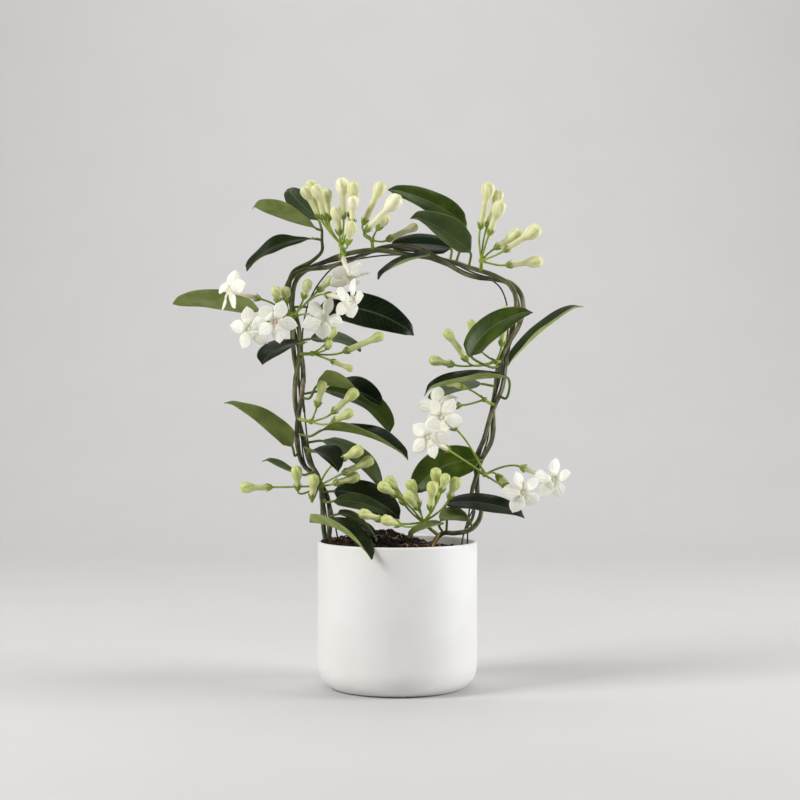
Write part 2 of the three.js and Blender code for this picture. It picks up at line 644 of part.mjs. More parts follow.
function potOutline() {
  const outline = [new THREE.Vector2(0, 0)];
  const arcSteps = 5;
  for (let step = 0; step <= arcSteps; step += 1) {
    const angle = (step / arcSteps) * Math.PI / 2;
    const bulge = (POT.radius - POT.footRadius) * Math.sin(angle);
    outline.push(new THREE.Vector2(POT.footRadius + bulge, POT.footRise * (1 - Math.cos(angle))));
  }
  const inner = POT.radius - POT.wall;
  outline.push(new THREE.Vector2(POT.radius, POT.height - POT.lip));
  outline.push(new THREE.Vector2(POT.radius - POT.lip, POT.height));
  outline.push(new THREE.Vector2(inner + POT.lip, POT.height));
  outline.push(new THREE.Vector2(inner, POT.height - POT.lip));
  outline.push(new THREE.Vector2(inner, POT.footRise + POT.floor));
  outline.push(new THREE.Vector2(inner - 6, POT.floor + 4));
  outline.push(new THREE.Vector2(POT.footRadius - 2, POT.floor));
  outline.push(new THREE.Vector2(0, POT.floor));
  return outline;
}

function soilHeight(x, y) {
  const spread = 2 * SOIL.moundSpread ** 2;
  const mound = SOIL.mound * Math.exp(-((x - SOIL.moundX) ** 2 + y ** 2) / spread);
  const lumps = SOIL.lump * (Math.sin(x * 0.55 + 1) * Math.cos(y * 0.6) + Math.sin(x * 0.21 - y * 0.33));
  return SOIL.level + mound + SOIL.slope * x + lumps;
}

function soilBlock() {
  const inner = POT.radius - POT.wall - CLEARANCE;
  const level = (radius, height) => Array.from({ length: SOIL.sides }, (_, side) => {
    const angle = (side / SOIL.sides) * Math.PI * 2;
    const x = Math.cos(angle) * radius;
    const y = Math.sin(angle) * radius;
    return new THREE.Vector3(x, y, height === null ? soilHeight(x, y) : height);
  });
  const floor = POT.floor + CLEARANCE;
  const rings = [
    level(POT.footRadius - 3, floor), level(inner - 7, floor + 4), level(inner, POT.footRise + floor),
  ];
  for (let ring = 0; ring < SOIL.rings; ring += 1) {
    rings.push(level(inner * (1 - ring / SOIL.rings), null));
  }
  rings.push(level(2, null));
  return loft(rings);
}

function soilSolid() {
  const buriedSteps = 5;
  const stemHoles = stemRuns.map((run) => {
    const buried = run.centres.slice(0, buriedSteps);
    return tubeThrough(buried, buried.map(() => STEM.radius + HOLE_PLAY), STEM.sides);
  });
  const hoopHoles = [HOOP_FRONT_ROUTE, HOOP_BACK_ROUTE].map((route) => hoopSolid(route, HOLE_PLAY));
  return [...stemHoles, ...hoopHoles].reduce((soil, hole) => soil.subtract(hole), soilBlock());
}

// Assembly

function geometryOf(solid) {
  const mesh = solid.getMesh();
  const geometry = new THREE.BufferGeometry();
  geometry.setAttribute('position', new THREE.BufferAttribute(Float32Array.from(mesh.vertProperties), 3));
  geometry.setIndex(new THREE.BufferAttribute(Uint32Array.from(mesh.triVerts), 1));
  return geometry;
}

function addPiece(group, name, geometry, material) {
  const piece = new THREE.Mesh(geometry, material);
  piece.name = name;
  group.add(piece);
}

function buildPlant() {
  const group = new THREE.Group();
  const potGeometry = new THREE.LatheGeometry(potOutline(), POT.sides);
  potGeometry.rotateX(Math.PI / 2);
  addPiece(group, 'pot', potGeometry, GLAZE);
  addPiece(group, 'soil', geometryOf(soilSolid()), EARTH);
  addPiece(group, 'hoop_front', geometryOf(hoopSolid(HOOP_FRONT_ROUTE)), COATED_WIRE);
  addPiece(group, 'hoop_back', geometryOf(hoopSolid(HOOP_BACK_ROUTE)), COATED_WIRE);
  for (const run of stemRuns) {
    addPiece(group, run.name, geometryOf(tubeThrough(run.centres, run.radii, STEM.sides)), BARK);
  }
  for (const leaf of LEAVES) {
    addPiece(group, leaf.name, geometryOf(leafSolid(leaf)), LEAF_GREEN);
  }
  for (const umbel of UMBELS) {
    addPiece(group, umbel.name, geometryOf(umbelSolid(umbel)), BUD_GREEN);
    for (const bloom of umbel.blooms) {
      addPiece(group, bloom.name, geometryOf(bloomSolid(bloom)), PETAL_WHITE);
    }
  }
  return group;
}

export default buildPlant();
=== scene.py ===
"""Potted Madagascar jasmine in flower, trained round a wire hoop in a white glazed pot.

The shapes are worked out in millimetres, +Z up, +X right, -Y towards the front, with the origin at the
middle of the pot's base, and go into their meshes in metres.
"""

import logging
import math
from dataclasses import dataclass, field
from enum import Enum

import bpy
import numpy as np
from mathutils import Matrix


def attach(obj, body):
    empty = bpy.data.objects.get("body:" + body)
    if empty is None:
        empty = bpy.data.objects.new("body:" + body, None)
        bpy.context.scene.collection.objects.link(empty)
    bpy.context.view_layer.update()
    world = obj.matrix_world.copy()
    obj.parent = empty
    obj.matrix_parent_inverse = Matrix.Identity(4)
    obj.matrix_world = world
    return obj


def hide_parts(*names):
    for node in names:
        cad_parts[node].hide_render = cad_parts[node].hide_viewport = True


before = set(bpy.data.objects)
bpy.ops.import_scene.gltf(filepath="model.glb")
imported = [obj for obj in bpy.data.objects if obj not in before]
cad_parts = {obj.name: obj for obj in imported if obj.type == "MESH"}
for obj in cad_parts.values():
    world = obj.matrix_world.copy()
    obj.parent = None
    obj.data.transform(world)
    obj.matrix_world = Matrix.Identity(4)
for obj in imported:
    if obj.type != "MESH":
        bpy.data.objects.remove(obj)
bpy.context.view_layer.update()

LOG = logging.getLogger("jasmine")
MM = 0.001
UPRIGHT = np.array([0.0, 0.0, 1.0])
Array = np.ndarray
Point = tuple[float, float, float]
Colour = tuple[float, float, float, float]


# Curves and grids

def unit(vectors: Array) -> Array:
    """The vectors along the last axis, each brought to length one."""
    return vectors / np.maximum(np.linalg.norm(vectors, axis=-1, keepdims=True), 1e-12)


def blend(low: float, high: float, value: Array) -> Array:
    """A smooth step: 0 below low, 1 above high, and 3t^2 - 2t^3 between them."""
    t = np.clip((value - low) / (high - low), 0.0, 1.0)
    return t * t * (3.0 - 2.0 * t)


def evenly(points: Array, count: int) -> Array:
    """Points spaced evenly by length along a broken line.

    Args:
        points: The line's corners.
        count: How many points come back, both ends among them.

    Returns:
        The points, each found where the running length reaches its share of the whole.
    """
    steps = np.linalg.norm(np.diff(points, axis=0), axis=1)
    run = np.concatenate([[0.0], np.cumsum(steps)])
    wanted = np.linspace(0.0, run[-1], count)
    return np.stack([np.interp(wanted, run, points[:, axis]) for axis in range(3)], axis=1)


def spline(points: list[Point] | Array, count: int) -> Array:
    """A smooth curve through the points.

    Each stretch is the cubic through its two points whose end slopes come from the neighbours, with the knots
    apart by the square root of the distance, which keeps it from looping or overshooting.

    Args:
        points: The points that the curve passes, in order.
        count: How many points come back, evenly by length.

    Returns:
        The curve's points.
    """
    line = np.asarray(points, float)
    line = np.vstack([2 * line[0] - line[1], line, 2 * line[-1] - line[-2]])
    p0, p1, p2, p3 = line[:-3], line[1:-2], line[2:-1], line[3:]
    gaps = np.sqrt(np.linalg.norm(np.diff(line, axis=0), axis=1))[:, None]
    d0, d1, d2 = gaps[:-2], gaps[1:-1], gaps[2:]
    leave = ((p1 - p0) / d0 - (p2 - p0) / (d0 + d1) + (p2 - p1) / d1) * d1
    arrive = ((p2 - p1) / d1 - (p3 - p1) / (d1 + d2) + (p3 - p2) / d2) * d1
    t = np.linspace(0.0, 1.0, 24, endpoint=False)[None, :, None]
    second = (3 * (p2 - p1) - 2 * leave - arrive)[:, None]
    third = (2 * (p1 - p2) + leave + arrive)[:, None]
    dense = p1[:, None] + leave[:, None] * t + second * t ** 2 + third * t ** 3
    return evenly(np.vstack([dense.reshape(-1, 3), line[-2:-1]]), count)


def bow(start: Array, bend: Array, end: Array, count: int) -> Array:
    """A curve with one bend: start (1-t)^2 + 2 bend t (1-t) + end t^2."""
    t = np.linspace(0.0, 1.0, count)[:, None]
    return start * (1 - t) ** 2 + 2 * bend * t * (1 - t) + end * t ** 2


def square_to(path: Array) -> tuple[Array, Array, Array]:
    """The direction of a path and two unit vectors square to it, at each of its points.

    The first is the main axis that the path runs least along, less its part along the path. The second is
    the cross product of the direction and the first.

    Args:
        path: The path's points.

    Returns:
        The directions, the first vectors and the second vectors.
    """
    along = unit(np.gradient(path, axis=0))
    helper = np.eye(3)[np.abs(along).max(axis=0).argmin()]
    across = unit(helper - along * (along @ helper)[:, None])
    return along, across, np.cross(along, across)


def tube(path: Array, radii: Array, sides: int, ribs: int = 0, relief: float = 0.0,
         twist: float = 0.0) -> Array:
    """A pipe along a path.

    The point at angle a on ring i is path_i + r (across cos a + over sin a), and its reach r is the ring's
    radius times 1 + relief cos(ribs a + twist i).

    Args:
        path: The middle of each ring.
        radii: The radius at each ring.
        sides: How many points a ring has.
        ribs: How many ribs run along it.
        relief: The height of the ribs as a share of the radius.
        twist: How far the ribs turn from one ring to the next, in radians.

    Returns:
        A grid of rings by sides by three.
    """
    _, across, over = square_to(path)
    angle = np.linspace(0.0, 2 * np.pi, sides, endpoint=False)
    ring = np.arange(len(path))[:, None]
    reach = np.asarray(radii)[:, None] * (1 + relief * np.cos(ribs * angle[None] + twist * ring))
    return (path[:, None] + across[:, None] * (np.cos(angle)[None] * reach)[..., None]
            + over[:, None] * (np.sin(angle)[None] * reach)[..., None])


def lattice(x: Array, y: Array, size: float, seed: int) -> Array:
    """Smooth bumps: chance heights on a square lattice, joined by smooth steps.

    Args:
        x: Where the points are from left to right.
        y: Where they are from front to back.
        size: The lattice's step.
        seed: What the chance starts from.

    Returns:
        A height from -1 to 1 at each point.
    """
    heights = np.random.default_rng(seed).uniform(-1, 1, (64, 64))
    u, v = x / size + 32, y / size + 32
    i, j = np.floor(u).astype(int), np.floor(v).astype(int)
    fu, fv = blend(0, 1, u - i), blend(0, 1, v - j)
    near = heights[i % 64, j % 64] * (1 - fu) + heights[(i + 1) % 64, j % 64] * fu
    far = heights[i % 64, (j + 1) % 64] * (1 - fu) + heights[(i + 1) % 64, (j + 1) % 64] * fu
    return near * (1 - fv) + far * fv


@dataclass
class Shell:
    """Closed grids of points that become one mesh, with named numbers at each point for the finish.

    Attributes:
        names: The names of the numbers.
    """

    names: tuple[str, ...] = ()
    points: list[Array] = field(default_factory=list)
    quads: list[Array] = field(default_factory=list)
    fans: list[Array] = field(default_factory=list)
    marks: dict[str, list[Array]] = field(default_factory=dict)
    size: int = 0

    def add(self, grid: Array, **marks: Array | float) -> None:
        """Adds a pipe-like grid: each ring closes on itself, and a pole closes each end.

        Args:
            grid: Rings by points by three, in millimetres.
            marks: A number for all points, one a ring, or one a point, for each of the names.
        """
        rings, count = grid.shape[:2]
        index = np.arange(rings * count).reshape(rings, count)
        after = np.roll(index, -1, axis=1)
        quads = np.stack([index[:-1], after[:-1], after[1:], index[1:]], axis=-1).reshape(-1, 4)
        first, last = rings * count, rings * count + 1
        start = np.stack([after[0], index[0], np.full(count, first)], axis=-1)
        end = np.stack([index[-1], after[-1], np.full(count, last)], axis=-1)
        fans = np.concatenate([start, end])
        points = np.vstack([grid.reshape(-1, 3), grid[0].mean(axis=0), grid[-1].mean(axis=0)])
        a, b, c, d = (points[quads[:, corner]] - points[0] for corner in range(4))
        volume = (np.cross(a, b) * c).sum() + (np.cross(a, c) * d).sum()
        if volume < 0:
            quads, fans = quads[:, ::-1], fans[:, ::-1]
        self.points.append(points)
        self.quads.append(quads + self.size)
        self.fans.append(fans + self.size)
        for name in self.names:
            value = np.asarray(marks.get(name, 0.0), float)
            value = value[:, None] if value.ndim == 1 else value
            value = np.broadcast_to(value, (rings, count))
            poles = [value[0].mean(), value[-1].mean()]
            self.marks.setdefault(name, []).append(np.concatenate([value.ravel(), poles]))
        self.size += len(points)

    def build(self, name: str, finish: "Finish", nodes: tuple[str, ...]) -> bpy.types.Object:
        """Makes the object, gives it its finish and ties it to the frame.

        Args:
            name: The object's name.
            finish: What it is covered with.
            nodes: The solids that it stands for.

        Returns:
            The object, at the origin with its place in its mesh.
        """
        quads, fans = np.concatenate(self.quads), np.concatenate(self.fans)
        corners = np.concatenate([quads.ravel(), fans.ravel()])
        starts = np.concatenate([np.arange(len(quads)) * 4, len(quads) * 4 + np.arange(len(fans)) * 3])
        mesh = bpy.data.meshes.new(name)
        mesh.vertices.add(self.size)
        mesh.vertices.foreach_set("co", (np.concatenate(self.points) * MM).ravel())
        mesh.loops.add(len(corners))
        mesh.loops.foreach_set("vertex_index", corners.astype(np.int32))
        mesh.polygons.add(len(starts))
        mesh.polygons.foreach_set("loop_start", starts.astype(np.int32))
        mesh.polygons.foreach_set("use_smooth", np.ones(len(starts), bool))
        for mark, values in self.marks.items():
            layer = mesh.attributes.new(name=mark, type="FLOAT", domain="POINT")
            layer.data.foreach_set("value", np.concatenate(values).astype(np.float32))
        mesh.update(calc_edges=True)
        mesh.validate()
        mesh.materials.append(finish.material())
        piece = bpy.data.objects.new(name, mesh)
        bpy.context.scene.collection.objects.link(piece)
        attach(piece, "root")
        if nodes:
            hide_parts(*nodes)
        LOG.info("%s: %d points, %d faces", name, self.size, len(starts))
        return piece


# Finishes

def paint(red: float, green: float, blue: float) -> Colour:
    """A colour as the eye reads it, 0 to 255 a channel, turned into amounts of light."""
    level = np.array([red, green, blue]) / 255
    light = np.where(level <= 0.04045, level / 12.92, ((level + 0.055) / 1.055) ** 2.4)
    return (float(light[0]), float(light[1]), float(light[2]), 1.0)


@dataclass
class Wiring:
    """Short calls that fill a node tree.

    Attributes:
        tree: The material's or the group's tree.
    """

    tree: bpy.types.NodeTree

    def node(self, kind: str, inputs: dict | None = None, **settings: object) -> bpy.types.Node:
        """Adds a node.

        Args:
            kind: The node's type, without its ShaderNode prefix.
            inputs: What goes into its sockets, by name or number: another node's socket, or a value.
            settings: Its other properties.

        Returns:
            The node.
        """
        made = self.tree.nodes.new("ShaderNode" + kind)
        for key, value in settings.items():
            setattr(made, key, value)
        for key, value in (inputs or {}).items():
            if isinstance(value, bpy.types.NodeSocket):
                self.tree.links.new(value, made.inputs[key])
            else:
                made.inputs[key].default_value = value
        return made

    def mark(self, name: str) -> bpy.types.NodeSocket:
        """The number that the mesh carries under that name."""
        return self.node("Attribute", attribute_type="GEOMETRY", attribute_name=name).outputs["Fac"]

    def maths(self, operation: str, *values: object) -> bpy.types.NodeSocket:
        """One step of arithmetic."""
        return self.node("Math", dict(enumerate(values)), operation=operation).outputs[0]

    def slope(self, value: object, low: float, high: float, start: float = 0.0,
              end: float = 1.0) -> bpy.types.NodeSocket:
        """A smooth step of a value: start where it is at low, end where it is at high."""
        inputs = {"Value": value, "From Min": low, "From Max": high, "To Min": start, "To Max": end}
        return self.node("MapRange", inputs, interpolation_type="SMOOTHSTEP").outputs[0]

    def mix(self, share: object, first: object, second: object) -> bpy.types.NodeSocket:
        """One colour turned into another as the share goes from 0 to 1."""
        return self.node("Mix", {0: share, 6: first, 7: second}, data_type="RGBA").outputs[2]

    def place(self) -> bpy.types.NodeSocket:
        """Where the point is on the object, in metres."""
        return self.node("TexCoord").outputs["Object"]

    def noise(self, scale: object, detail: float = 3.0, vector: object = None) -> bpy.types.NodeSocket:
        """Cloudy chance values from 0 to 1."""
        inputs = {"Vector": vector or self.place(), "Scale": scale, "Detail": detail}
        return self.node("TexNoise", inputs).outputs["Fac"]

    def bump(self, height: object, distance: float, strength: float = 1.0,
             below: object = None) -> bpy.types.NodeSocket:
        """Tilts the surface as if it rose by that distance where the height is 1.

        Args:
            height: The height from 0 to 1.
            distance: How far that is, in metres.
            strength: How much of the tilt counts.
            below: The tilt that this one lies on, if any.

        Returns:
            The tilted surface's direction.
        """
        inputs = {"Height": height, "Distance": distance, "Strength": strength}
        if below is not None:
            inputs["Normal"] = below
        return self.node("Bump", inputs).outputs["Normal"]


def group(name: str, inputs: dict[str, object], outputs: tuple[str, ...]) -> tuple[Wiring, dict]:
    """Starts a group of nodes.

    Args:
        name: What the group is called.
        inputs: Its inputs and what they hold at first, a number or a colour.
        outputs: The names of what it puts out; a name that starts with Colour is a colour.

    Returns:
        The group's wiring, and its input sockets by name.
    """
    tree = bpy.data.node_groups.new(name, "ShaderNodeTree")
    for key, value in inputs.items():
        kind = "NodeSocketColor" if isinstance(value, tuple) else "NodeSocketFloat"
        tree.interface.new_socket(name=key, in_out="INPUT", socket_type=kind).default_value = value
    for key in outputs:
        kind = "NodeSocketColor" if key.startswith("Colour") else "NodeSocketFloat"
        tree.interface.new_socket(name=key, in_out="OUTPUT", socket_type=kind)
    start = tree.nodes.new("NodeGroupInput")
    return Wiring(tree), {key: start.outputs[key] for key in inputs}


class Effect(Enum):
    """The effects that several finishes share."""

    MOTTLE = "mottle"
    FIBRES = "fibres"


def mottle_group() -> bpy.types.NodeTree:
    """Two colours in soft clouds, with a finer grain over them.

    The share of the second colour is a smooth step of a noise of the given scale, and the height is a noise
    eight times finer.
    """
    wires, given = group("mottle", {
        "Colour A": (0.5, 0.5, 0.5, 1.0), "Colour B": (0.4, 0.4, 0.4, 1.0), "Scale": 60.0, "Contrast": 0.5,
    }, ("Colour", "Height"))
    clouds = wires.noise(given["Scale"])
    share = wires.maths("MULTIPLY", wires.slope(clouds, 0.36, 0.66), given["Contrast"])
    grain = wires.noise(wires.maths("MULTIPLY", given["Scale"], 8.0), 2.0)
    colour = wires.mix(share, given["Colour A"], given["Colour B"])
    end = wires.tree.nodes.new("NodeGroupOutput")
    wires.tree.links.new(colour, end.inputs["Colour"])
    wires.tree.links.new(grain, end.inputs["Height"])
    return wires.tree


def fibres_group() -> bpy.types.NodeTree:
    """Fine lines that run along a piece.

    The noise is read at (cosine, sine) of the angle round the piece times the fineness, and at the length
    along it times the stretch, so the lines close on themselves round a pipe.
    """
    wires, given = group("fibres", {
        "Along": 0.0, "Cosine": 0.0, "Sine": 0.0, "Fineness": 3.0, "Stretch": 0.1,
    }, ("Mask",))
    spot = wires.node("CombineXYZ", {
        0: wires.maths("MULTIPLY", given["Cosine"], given["Fineness"]),
        1: wires.maths("MULTIPLY", given["Sine"], given["Fineness"]),
        2: wires.maths("MULTIPLY", given["Along"], given["Stretch"]),
    }).outputs[0]
    mask = wires.slope(wires.noise(1.0, 3.0, spot), 0.35, 0.65)
    end = wires.tree.nodes.new("NodeGroupOutput")
    wires.tree.links.new(mask, end.inputs["Mask"])
    return wires.tree


class Finish:
    """What a piece is covered with: a material made once and shared.

    Attributes:
        name: The material's name.
        slot: The name of the slot that the finish belongs to; not used in this script.
    """

    name: str = ""
    slot: str = ""
    made: dict[str, bpy.types.Material] = {}
    groups: dict[Effect, bpy.types.NodeTree] = {}

    def material(self) -> bpy.types.Material:
        """The finish's material, made at the first call."""
        if self.name not in Finish.made:
            material = bpy.data.materials.new(self.name)
            material.use_nodes = True
            wires = Wiring(material.node_tree)
            shader = material.node_tree.nodes["Principled BSDF"]
            for key, value in self.dress(wires).items():
                if isinstance(value, bpy.types.NodeSocket):
                    wires.tree.links.new(value, shader.inputs[key])
                else:
                    shader.inputs[key].default_value = value
            Finish.made[self.name] = material
        return Finish.made[self.name]

    def dress(self, wires: Wiring) -> dict[str, object]:
        """What goes into the shader's sockets, by name."""
        raise NotImplementedError

    def effect(self, wires: Wiring, effect: Effect, inputs: dict[str, object]) -> bpy.types.Node:
        """Puts a shared effect into a material with its own values.

        Args:
            wires: The material's wiring.
            effect: Which effect.
            inputs: What goes into it.

        Returns:
            The group's node.
        """
        if effect not in Finish.groups:
            Finish.groups[effect] = mottle_group() if effect is Effect.MOTTLE else fibres_group()
        return wires.node("Group", inputs, node_tree=Finish.groups[effect])

    def mottle(self, wires: Wiring, first: object, second: object, scale: float,
               contrast: float = 1.0) -> tuple[bpy.types.NodeSocket, bpy.types.NodeSocket]:
        """Two colours in clouds.

        Args:
            wires: The material's wiring.
            first: The colour between the clouds.
            second: The colour of the clouds.
            scale: How small the clouds are.
            contrast: How strong they are, from 0 to 1.

        Returns:
            The colour, and the height of the fine grain.
        """
        node = self.effect(wires, Effect.MOTTLE, {
            "Colour A": first, "Colour B": second, "Scale": scale, "Contrast": contrast,
        })
        return node.outputs["Colour"], node.outputs["Height"]

    def fibres(self, wires: Wiring, fineness: float, stretch: float) -> bpy.types.NodeSocket:
        """Fine lines along a pipe that carries the marks along, cosine and sine.

        Args:
            wires: The material's wiring.
            fineness: How fine the lines are round the pipe.
            stretch: How short they are along it.

        Returns:
            The mask, 1 on the lines.
        """
        node = self.effect(wires, Effect.FIBRES, {
            "Along": wires.mark("along"), "Cosine": wires.mark("cosine"), "Sine": wires.mark("sine"),
            "Fineness": fineness, "Stretch": stretch,
        })
        return node.outputs["Mask"]


@dataclass(frozen=True)
class SatinGlaze(Finish):
    """White glaze with a soft sheen and the faintest unevenness."""

    name: str = "satin_glaze"
    slot: str = "pot"

    def dress(self, wires: Wiring) -> dict[str, object]:
        """White over a slightly warmer white, with a low orange-peel relief.

        Args:
            wires: The material's wiring.

        Returns:
            What goes into the shader's sockets, by name.
        """
        colour, _ = self.mottle(wires, paint(235, 235, 233), paint(230, 229, 226), 14.0)
        peel = wires.noise(260.0, 2.0)
        swell = wires.noise(22.0, 2.0)
        speck = wires.slope(wires.noise(900.0, 1.0), 0.76, 0.80)
        return {
            "Base Color": wires.mix(wires.maths("MULTIPLY", speck, 0.35), colour, paint(205, 202, 196)),
            "Roughness": wires.slope(swell, 0.3, 0.7, 0.36, 0.44),
            "Normal": wires.bump(peel, 0.00006, 0.5, wires.bump(swell, 0.0004, 0.35)),
            "Coat Weight": 0.25, "Coat Roughness": 0.3, "Specular IOR Level": 0.45,
        }


@dataclass(frozen=True)
class PottingSoil(Finish):
    """Dark damp peat with paler and redder crumbs."""

    name: str = "potting_soil"
    slot: str = "soil"

    def dress(self, wires: Wiring) -> dict[str, object]:
        """Near-black brown broken up by crumbs of three browns.

        Args:
            wires: The material's wiring.

        Returns:
            What goes into the shader's sockets, by name.
        """
        dark, grain = self.mottle(wires, paint(42, 29, 23), paint(66, 47, 37), 160.0)
        cells = wires.node("TexVoronoi", {"Vector": wires.place(), "Scale": 420.0})
        crumb = wires.slope(cells.outputs["Distance"], 0.10, 0.55)
        red = wires.slope(wires.noise(340.0, 1.0), 0.60, 0.70)
        colour = wires.mix(wires.maths("MULTIPLY", red, 0.6), dark, paint(104, 62, 44))
        return {
            "Base Color": wires.mix(crumb, colour, paint(30, 21, 17)),
            "Roughness": wires.slope(grain, 0.2, 0.8, 0.82, 0.98),
            "Normal": wires.bump(crumb, 0.0012, 0.8, wires.bump(grain, 0.0008, 0.8)),
            "Specular IOR Level": 0.25,
        }


@dataclass(frozen=True)
class Chips(Finish):
    """Bark bits and crumbs, each with its own tone."""

    name: str = "bark_chips"
    slot: str = "soil"

    def dress(self, wires: Wiring) -> dict[str, object]:
        """From black peat over red bark to pale wood by the piece's tone, with fibres of noise.

        Args:
            wires: The material's wiring.

        Returns:
            What goes into the shader's sockets, by name.
        """
        tone = wires.mark("tone")
        red = wires.mix(wires.slope(tone, 0.3, 0.88), paint(38, 27, 22), paint(96, 55, 42))
        pale = wires.mix(wires.slope(tone, 0.9, 0.97), red, paint(150, 112, 80))
        colour, grain = self.mottle(wires, pale, paint(44, 31, 25), 420.0, 0.6)
        return {
            "Base Color": colour,
            "Roughness": wires.slope(grain, 0.2, 0.8, 0.7, 0.95),
            "Normal": wires.bump(grain, 0.0005, 0.7),
            "Specular IOR Level": 0.3,
        }


@dataclass(frozen=True)
class RootSkin(Finish):
    """Pale fine roots and straw on the soil."""

    name: str = "root_skin"
    slot: str = "soil"

    def dress(self, wires: Wiring) -> dict[str, object]:
        """Cream to straw yellow by the root's tone, dirtied in patches.

        Args:
            wires: The material's wiring.

        Returns:
            What goes into the shader's sockets, by name.
        """
        tone = wires.mix(wires.mark("tone"), paint(214, 196, 168), paint(214, 150, 62))
        colour, grain = self.mottle(wires, tone, paint(120, 92, 66), 240.0, 0.7)
        return {
            "Base Color": colour, "Roughness": wires.slope(grain, 0.2, 0.8, 0.6, 0.85),
            "Normal": wires.bump(grain, 0.0002, 0.6),
        }


@dataclass(frozen=True)
class CoatedWire(Finish):
    """Dark green plastic coat on a wire."""

    name: str = "coated_wire"
    slot: str = "hoop"

    def dress(self, wires: Wiring) -> dict[str, object]:
        """Green-black with scuffs and a hint of the drawing lines.

        Args:
            wires: The material's wiring.

        Returns:
            What goes into the shader's sockets, by name.
        """
        colour, grain = self.mottle(wires, paint(46, 52, 44), paint(66, 68, 58), 300.0, 0.8)
        lines = self.fibres(wires, 2.0, 0.04)
        return {
            "Base Color": colour, "Roughness": wires.slope(lines, 0.0, 1.0, 0.34, 0.5),
            "Normal": wires.bump(grain, 0.00008, 0.6), "Specular IOR Level": 0.5,
        }


@dataclass(frozen=True)
class StemBark(Finish):
    """Young woody bark: brown-grey where old, green where young, with fine lengthwise ridges."""

    name: str = "stem_bark"
    slot: str = "stem"

    def dress(self, wires: Wiring) -> dict[str, object]:
        """Brown and green mixed by the stem's youth and by patches, darkened in the furrows with painted shade.

        Args:
            wires: The material's wiring.

        Returns:
            What goes into the shader's sockets, by name.
        """
        lines = self.fibres(wires, 2.6, 0.05)
        old, grain = self.mottle(wires, paint(170, 158, 130), paint(82, 76, 52), 90.0)
        young, _ = self.mottle(wires, paint(84, 104, 38), paint(128, 138, 74), 70.0)
        colour = wires.mix(wires.mark("green"), old, young)
        # Painted shade: the furrows between the ridges are darkened towards a near-black olive.
        furrow = wires.maths("MULTIPLY", wires.slope(lines, 0.0, 1.0, 1.0, 0.0), 0.75)
        return {
            "Base Color": wires.mix(furrow, colour, paint(36, 34, 18)),
            "Roughness": wires.slope(grain, 0.2, 0.8, 0.5, 0.68),
            "Normal": wires.bump(lines, 0.0003, 0.7, wires.bump(grain, 0.0001, 0.5)),
            "Specular IOR Level": 0.4,
        }


@dataclass(frozen=True)
class LeafSkin(Finish):
    """Leathery leaf: glossy green-black above, pale and dull below, with a fine pale vein net."""

    name: str = "leaf_skin"
    slot: str = "leaf"

    def dress(self, wires: Wiring) -> dict[str, object]:
        """Both sides' colours, the midrib, the side veins and the pale margin.

        A side vein is where the rungs mark is close to a whole number, and the midrib where across is close
        to 0. The upper side is darker and shinier, and each leaf's tone runs from old and dark over grey, which
        is a painted sheen, and young olive to pale; the tones are set leaf by leaf partly for the leaf's age
        and partly to paint the light or shade that falls on it.

        Args:
            wires: The material's wiring.

        Returns:
            What goes into the shader's sockets, by name.
        """
        across = wires.maths("ABSOLUTE", wires.mark("across"))
        under, tone, stalk = wires.mark("under"), wires.mark("tone"), wires.mark("stalk")
        rung = wires.maths("PINGPONG", wires.mark("rungs"), 0.5)
        rib = wires.slope(across, 0.02, 0.075, 1.0, 0.0)
        inside = wires.slope(across, 0.75, 0.95, 1.0, 0.0)
        vein = wires.maths("MULTIPLY", wires.slope(rung, 0.0, 0.11, 1.0, 0.0), inside)
        margin = wires.slope(across, 0.94, 0.99)

        old, grain = self.mottle(wires, paint(8, 19, 5), paint(17, 31, 9), 55.0)
        # The grey stop is a painted sheen: the grey that a glossy leaf shows when seen at a grazing angle.
        grey, _ = self.mottle(wires, paint(64, 78, 46), paint(82, 94, 58), 55.0)
        young, _ = self.mottle(wires, paint(43, 60, 3), paint(62, 79, 9), 55.0)
        pale, _ = self.mottle(wires, paint(89, 104, 47), paint(114, 126, 68), 55.0)
        above = wires.mix(wires.slope(tone, 0.5, 1.0), wires.mix(wires.slope(tone, 0.0, 0.5), old, grey), young)
        above = wires.mix(wires.slope(tone, 1.0, 1.5), above, pale)
        above = wires.mix(wires.maths("MULTIPLY", vein, 0.13), above, paint(84, 100, 60))
        above = wires.mix(wires.maths("MULTIPLY", rib, 0.36), above, paint(104, 116, 72))
        below, _ = self.mottle(wires, paint(126, 144, 70), paint(152, 166, 96), 70.0)
        below = wires.mix(wires.maths("MULTIPLY", vein, 0.16), below, paint(92, 112, 48))
        below = wires.mix(wires.maths("MULTIPLY", rib, 0.6), below, paint(150, 162, 96))
        colour = wires.mix(under, above, below)
        colour = wires.mix(wires.maths("MULTIPLY", margin, 0.5), colour, paint(128, 138, 92))
        colour = wires.mix(stalk, colour, paint(104, 122, 50))

        pits = wires.maths("ADD", wires.maths("MULTIPLY", vein, 0.25), rib)
        uneven = wires.slope(grain, 0.2, 0.8, 0.0, 0.08)
        dull = wires.maths("ADD", wires.slope(under, 0.0, 1.0, 0.36, 0.58), uneven)
        return {
            "Base Color": colour,
            "Roughness": dull,
            "Coat Weight": wires.slope(under, 0.0, 1.0, 0.05, 0.0),
            "Coat Roughness": 0.25,
            "Specular IOR Level": 0.18,
            "Normal": wires.bump(pits, -0.0002, 0.6, wires.bump(grain, 0.0001, 0.6)),
        }


